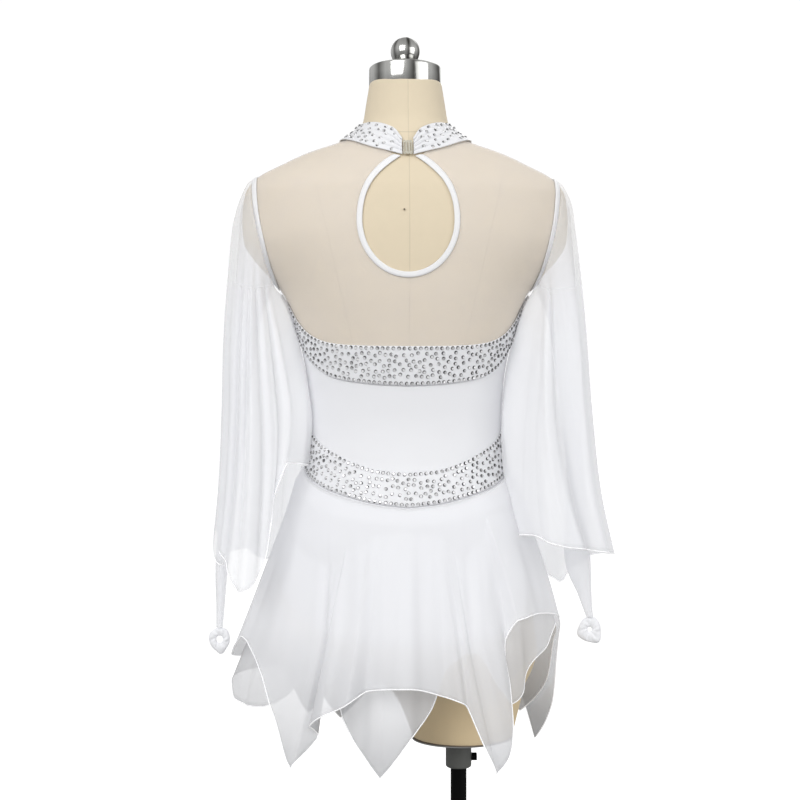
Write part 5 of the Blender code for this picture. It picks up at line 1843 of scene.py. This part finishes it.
class DRESS_OT_finger_loops(Piece, bpy.types.Operator):
    """The soft loops for the middle fingers"""
    bl_idname = "dress.finger_loops"
    bl_label = "Finger loops"

    def build(self, scene):
        count, sides = LOOP_STEPS
        (deep, often, lean), (fine_deep, fine_often, fine_lean) = LOOP_RIPPLES
        for tag, side, height in (("left", -1, LOOP.left), ("right", 1, LOOP.right)):
            grid = []
            for i in range(count):
                turn = 2 * math.pi * i / count
                pull = sum(p.out * bell_curve(turn_apart(360 * i / count, p.angle), p.spread)
                           for p in LOOP_POINTS if p.side == side)
                cord = LOOP.cord * (LOOP.fuller if side > 0 else 1.0) * (1 + pull)
                middle = LOOP.ring + LOOP.cord * pull
                column = []
                for k in range(sides):
                    at = 2 * math.pi * k / sides
                    wide = middle + cord * math.cos(at)
                    thick = LOOP.flat * (1 + deep * math.sin(often * turn + lean * math.cos(at))
                                         + fine_deep * math.sin(fine_often * turn
                                                                + fine_lean * at))
                    column.append(Vector((
                        side * LOOP.across + wide * math.sin(turn),
                        thick * math.sin(at), height + wide * math.cos(turn) * LOOP.stretch
                    )) * MM)
                grid.append(column)
            faces = []
            for i in range(count):
                here, there = i * sides, (i + 1) % count * sides
                faces += [(here + k, here + (k + 1) % sides, there + (k + 1) % sides, there + k)
                          for k in range(sides)]
            name = "finger_loop_%s_cloth" % tag
            points = place_all([p for column in grid for p in column])
            mesh = new_mesh(name, points, faces)
            mesh.shade_smooth()
            made = show(name, mesh, "loop", "form", "finger_loop_" + tag)


# Stones

def one_stone(width):
    """The corners and faces of a stone on a plane, modelled once."""
    height = width * STONE.height
    made = start(bpy.ops.mesh.primitive_cone_add, vertices=STONE.sides, radius1=width / 2,
                 radius2=width * STONE.table, depth=height, end_fill_type="NGON",
                 location=(0, 0, height / 2))
    pick(made, "FACE", lambda m, w: w.z < -UPRIGHT)
    bpy.ops.mesh.delete(type="FACE")
    pick(made, "FACE", lambda m, w: w.z > UPRIGHT)
    inset(width * STONE.edge, width * STONE.rise)
    mode("OBJECT")
    points = [v.co.copy() for v in made.data.vertices]
    faces = [tuple(p.vertices) for p in made.data.polygons]
    bpy.data.objects.remove(made)
    return points, faces


def set_stones(name, places, chance):
    """All stones of a piece as one mesh; places are points with their way out. A facet's painted
    glint is dark where it faces a dark way that differs a little from stone to stone."""
    width = sizes().stone_width
    stone, stone_faces = one_stone(width)
    points, faces, glints = [], [], []
    for at, out in places:
        turn = Matrix.Rotation(chance.uniform(0, math.pi / 4), 3, "Z")
        lean = Vector([chance.uniform(-1, 1) for _ in range(3)]) * STONE_LEAN
        stand = (out + lean).normalized().to_track_quat("Z", "Y").to_matrix() @ turn
        first = len(points)
        points += [at + stand @ p for p in stone]
        faces += [tuple(first + k for k in face) for face in stone_faces]
        table = chance.uniform(*TABLE_GLINT)
        away = Vector((chance.uniform(*DARK_ASIDE), 0, chance.uniform(*DARK_UP)))
        dark_way = (DARK_WAY + away).normalized()
        for face in stone_faces:
            middle = stand @ (sum((stone[k] for k in face), Vector()) / len(face))
            sideways = middle - out * middle.dot(out)
            if sideways.length < width * TABLE_REACH:
                glints.append(table)
            else:
                facing = 0.5 - 0.5 * sideways.normalized().dot(dark_way)
                glint = facing ** FACET_POWER * FACET_GAIN + chance.uniform(0.0, FACET_STRAY)
                glints.append(min(1.0, glint))
    mesh = new_mesh(name, place_all(points), faces)
    mesh.attributes.new("glint", "FLOAT", "FACE").data.foreach_set("value", glints)
    return show(name, mesh, "crystal", "form")


def on_band(foot, top, angle, height):
    """The point on a band's face, for a stone's back."""
    low, high = edge(foot, angle), edge(top, angle)
    out = BAND_OUT + round_share((height - low) / (high - low), BAND_CROWN)
    return body(angle, height, out + sizes().band_wall / 2 - STONE_SUNK)


def row_places(foot, top, name, inset_by):
    """Places of a row of stones beside a band's edge, all the way round."""
    places, run, last = [], 0.0, None
    for angle in span(-180, 180, ROW_TURNS):
        height = edge(name, angle) + inset_by
        point = on_band(foot, top, angle, height)
        run += (point - last).length if last else sizes().stone_step
        last = point
        if run >= sizes().stone_step:
            run = 0.0
            places.append((point, way_out(angle, height)))
    return places


def scattered(tries, draw, apart, places):
    """Adds drawn places that lie far enough from all the others."""
    kept = [at for at, _ in places]
    for _ in range(tries):
        drawn = draw()
        if drawn and all((drawn[0] - other).length > apart for other in kept):
            kept.append(drawn[0])
            places.append((drawn[0], way_out(*drawn[1:])))
    return places


class DRESS_OT_stones(Piece, bpy.types.Operator):
    """The clear stones of the bands and of the collar's wings"""
    bl_idname = "dress.stones"
    bl_label = "Stones"

    def build(self, scene):
        chosen = sizes()
        chance = random.Random(chosen.stone_seed)
        inset_by = chosen.stone_width * STONE_INSET

        def on_bands():
            angle, s = chance.uniform(-180, 180), chance.uniform(*BAND_ACROSS)
            low, high = edge(foot, angle), edge(top, angle)
            if high - low < NARROW_BAND:
                return None
            height = low + (high - low) * s
            return on_band(foot, top, angle, height), angle, height

        def on_collar():
            at, s = chance.uniform(*COLLAR_ALONG), chance.uniform(*COLLAR_ACROSS)
            side = chance.choice((-1, 1))
            (low_angle, low), (top_angle, top) = collar_place(at)
            angle = side * (low_angle + (top_angle - low_angle) * s)
            height = low + (top - low) * s
            out = BAND_OUT + round_share(s, EDGE_CROWN) + COLLAR_FACE
            return body(angle, height, out), angle, height

        for tag in ("bust", "waist"):
            foot, top = tag + " foot", tag + " top"
            places = row_places(foot, top, foot, inset_by)
            places += row_places(foot, top, top, -inset_by)
            set_stones(tag + "_stones",
                       scattered(BAND_TRIES, on_bands, chosen.stone_apart, places), chance)
        set_stones("collar_stones",
                   scattered(COLLAR_TRIES, on_collar, COLLAR_APART, []), chance)


class DRESS_OT_stage(Piece, bpy.types.Operator):
    """The pale floor with its round sweep, the soft lights and the camera"""
    bl_idname = "dress.stage"
    bl_label = "Stage"

    def build(self, scene):
        scene.view_settings.view_transform = "Standard"
        scene.cycles.transparent_max_bounces = 32
        flat, curve = SWEEP.flat, SWEEP.curve
        profile = [(flat * k / SWEEP.rings, 0.0) for k in range(1, SWEEP.rings + 1)]
        profile += [(flat + curve * sin_of(a), curve - curve * cos_of(a))
                    for a in range(10, 91, 10)]
        profile += [(flat + curve, SWEEP.wall)]
        count, around = len(profile), SWEEP.around
        turns = [2 * math.pi * k / around for k in range(around)]
        points = [(r * math.cos(a), r * math.sin(a), z) for a in turns for r, z in profile]
        faces = [(k * count + i, k * count + i + 1, (k + 1) % around * count + i + 1,
                  (k + 1) % around * count + i) for k in range(around)
                 for i in range(count - 1)]
        faces.append([k * count for k in range(around)])
        mesh = new_mesh("floor", points, faces)
        mesh.shade_smooth()
        floor = add("floor", mesh)
        mesh.materials.append(Finish("pale_floor", colours().floor_white, 0.9,
                                     emission_strength=FLOOR_GLOW,
                                     emission_color=WHITE).made)
        floor.visible_diffuse = floor.visible_glossy = floor.visible_transmission = False

        world = bpy.data.worlds.new("studio")
        world.use_nodes = True
        tree = world.node_tree
        sky = tree.nodes["Background"]
        sky.inputs["Strength"].default_value = 1.0
        way = tree.nodes.new("ShaderNodeTexCoord")
        apart = tree.nodes.new("ShaderNodeSeparateXYZ")
        ramp = tree.nodes.new("ShaderNodeMapRange")
        ramp.interpolation_type = "SMOOTHSTEP"
        for name, value in (("From Min", -SKY.reach), ("From Max", SKY.reach),
                            ("To Min", SKY.low), ("To Max", SKY.high)):
            ramp.inputs[name].default_value = value
        tree.links.new(way.outputs["Generated"], apart.inputs[0])
        tree.links.new(apart.outputs["Z"], ramp.inputs["Value"])
        tree.links.new(ramp.outputs["Result"], sky.inputs["Color"])
        scene.world = world

        aim = Vector((FORM_X, 0, WAIST_Z))
        for each in LAMPS:
            light = bpy.data.lights.new(each.name, "AREA")
            light.size = each.size
            light.energy = each.power
            lamp = add(each.name, light)
            lamp.location = each.spot
            way = aim - Vector(each.spot)
            lamp.rotation_euler = way.to_track_quat("-Z", "Y").to_euler()

        camera = bpy.data.cameras.new("camera")
        turn = math.radians(VIEW.turn)
        holder = add("camera", camera)
        holder.location = aim + Vector((-math.sin(turn), -math.cos(turn), 0)) * VIEW.distance
        holder.rotation_euler = (aim - holder.location).to_track_quat("-Z", "Y").to_euler()
        camera.sensor_width = SENSOR
        camera.lens = camera.sensor_width * VIEW.distance / VIEW.width
        camera.shift_x = -VIEW.across / VIEW.frame
        camera.shift_y = VIEW.down / VIEW.frame
        scene.camera = holder


OPERATORS = (
    DRESS_OT_form_cover, DRESS_OT_neck_hardware, DRESS_OT_stand, DRESS_OT_back_yoke,
    DRESS_OT_front_yoke, DRESS_OT_keyhole_edge, DRESS_OT_collar, DRESS_OT_clasp,
    DRESS_OT_armhole_edges, DRESS_OT_bands, DRESS_OT_body_panels, DRESS_OT_skirt,
    DRESS_OT_sleeves, DRESS_OT_bells, DRESS_OT_finger_loops, DRESS_OT_stones,
    DRESS_OT_stage)


class DRESS_PT_pieces(bpy.types.Panel):
    """Lists the dress's pieces and its sizes and colours"""
    bl_label = "Figure skating dress"
    bl_space_type = "VIEW_3D"
    bl_region_type = "UI"
    bl_category = "Dress"

    def draw(self, context):
        column = self.layout.column()
        for group in (context.scene.dress_sizes, context.scene.dress_colours):
            for name in group.__annotations__:
                column.prop(group, name)
        for operator in OPERATORS:
            column.operator(operator.bl_idname)


CLASSES = (DressSizes, DressColours) + OPERATORS + (DRESS_PT_pieces,)


def register():
    for each in CLASSES:
        bpy.utils.register_class(each)
    bpy.types.Scene.dress_sizes = PointerProperty(type=DressSizes)
    bpy.types.Scene.dress_colours = PointerProperty(type=DressColours)


def unregister():
    del bpy.types.Scene.dress_colours
    del bpy.types.Scene.dress_sizes
    for each in reversed(CLASSES):
        bpy.utils.unregister_class(each)


def main():
    """Builds every piece through its operator."""
    register()
    for operator in OPERATORS:
        family, piece = operator.bl_idname.split(".")
        getattr(getattr(bpy.ops, family), piece)()


if __name__ == "__main__":
    main()
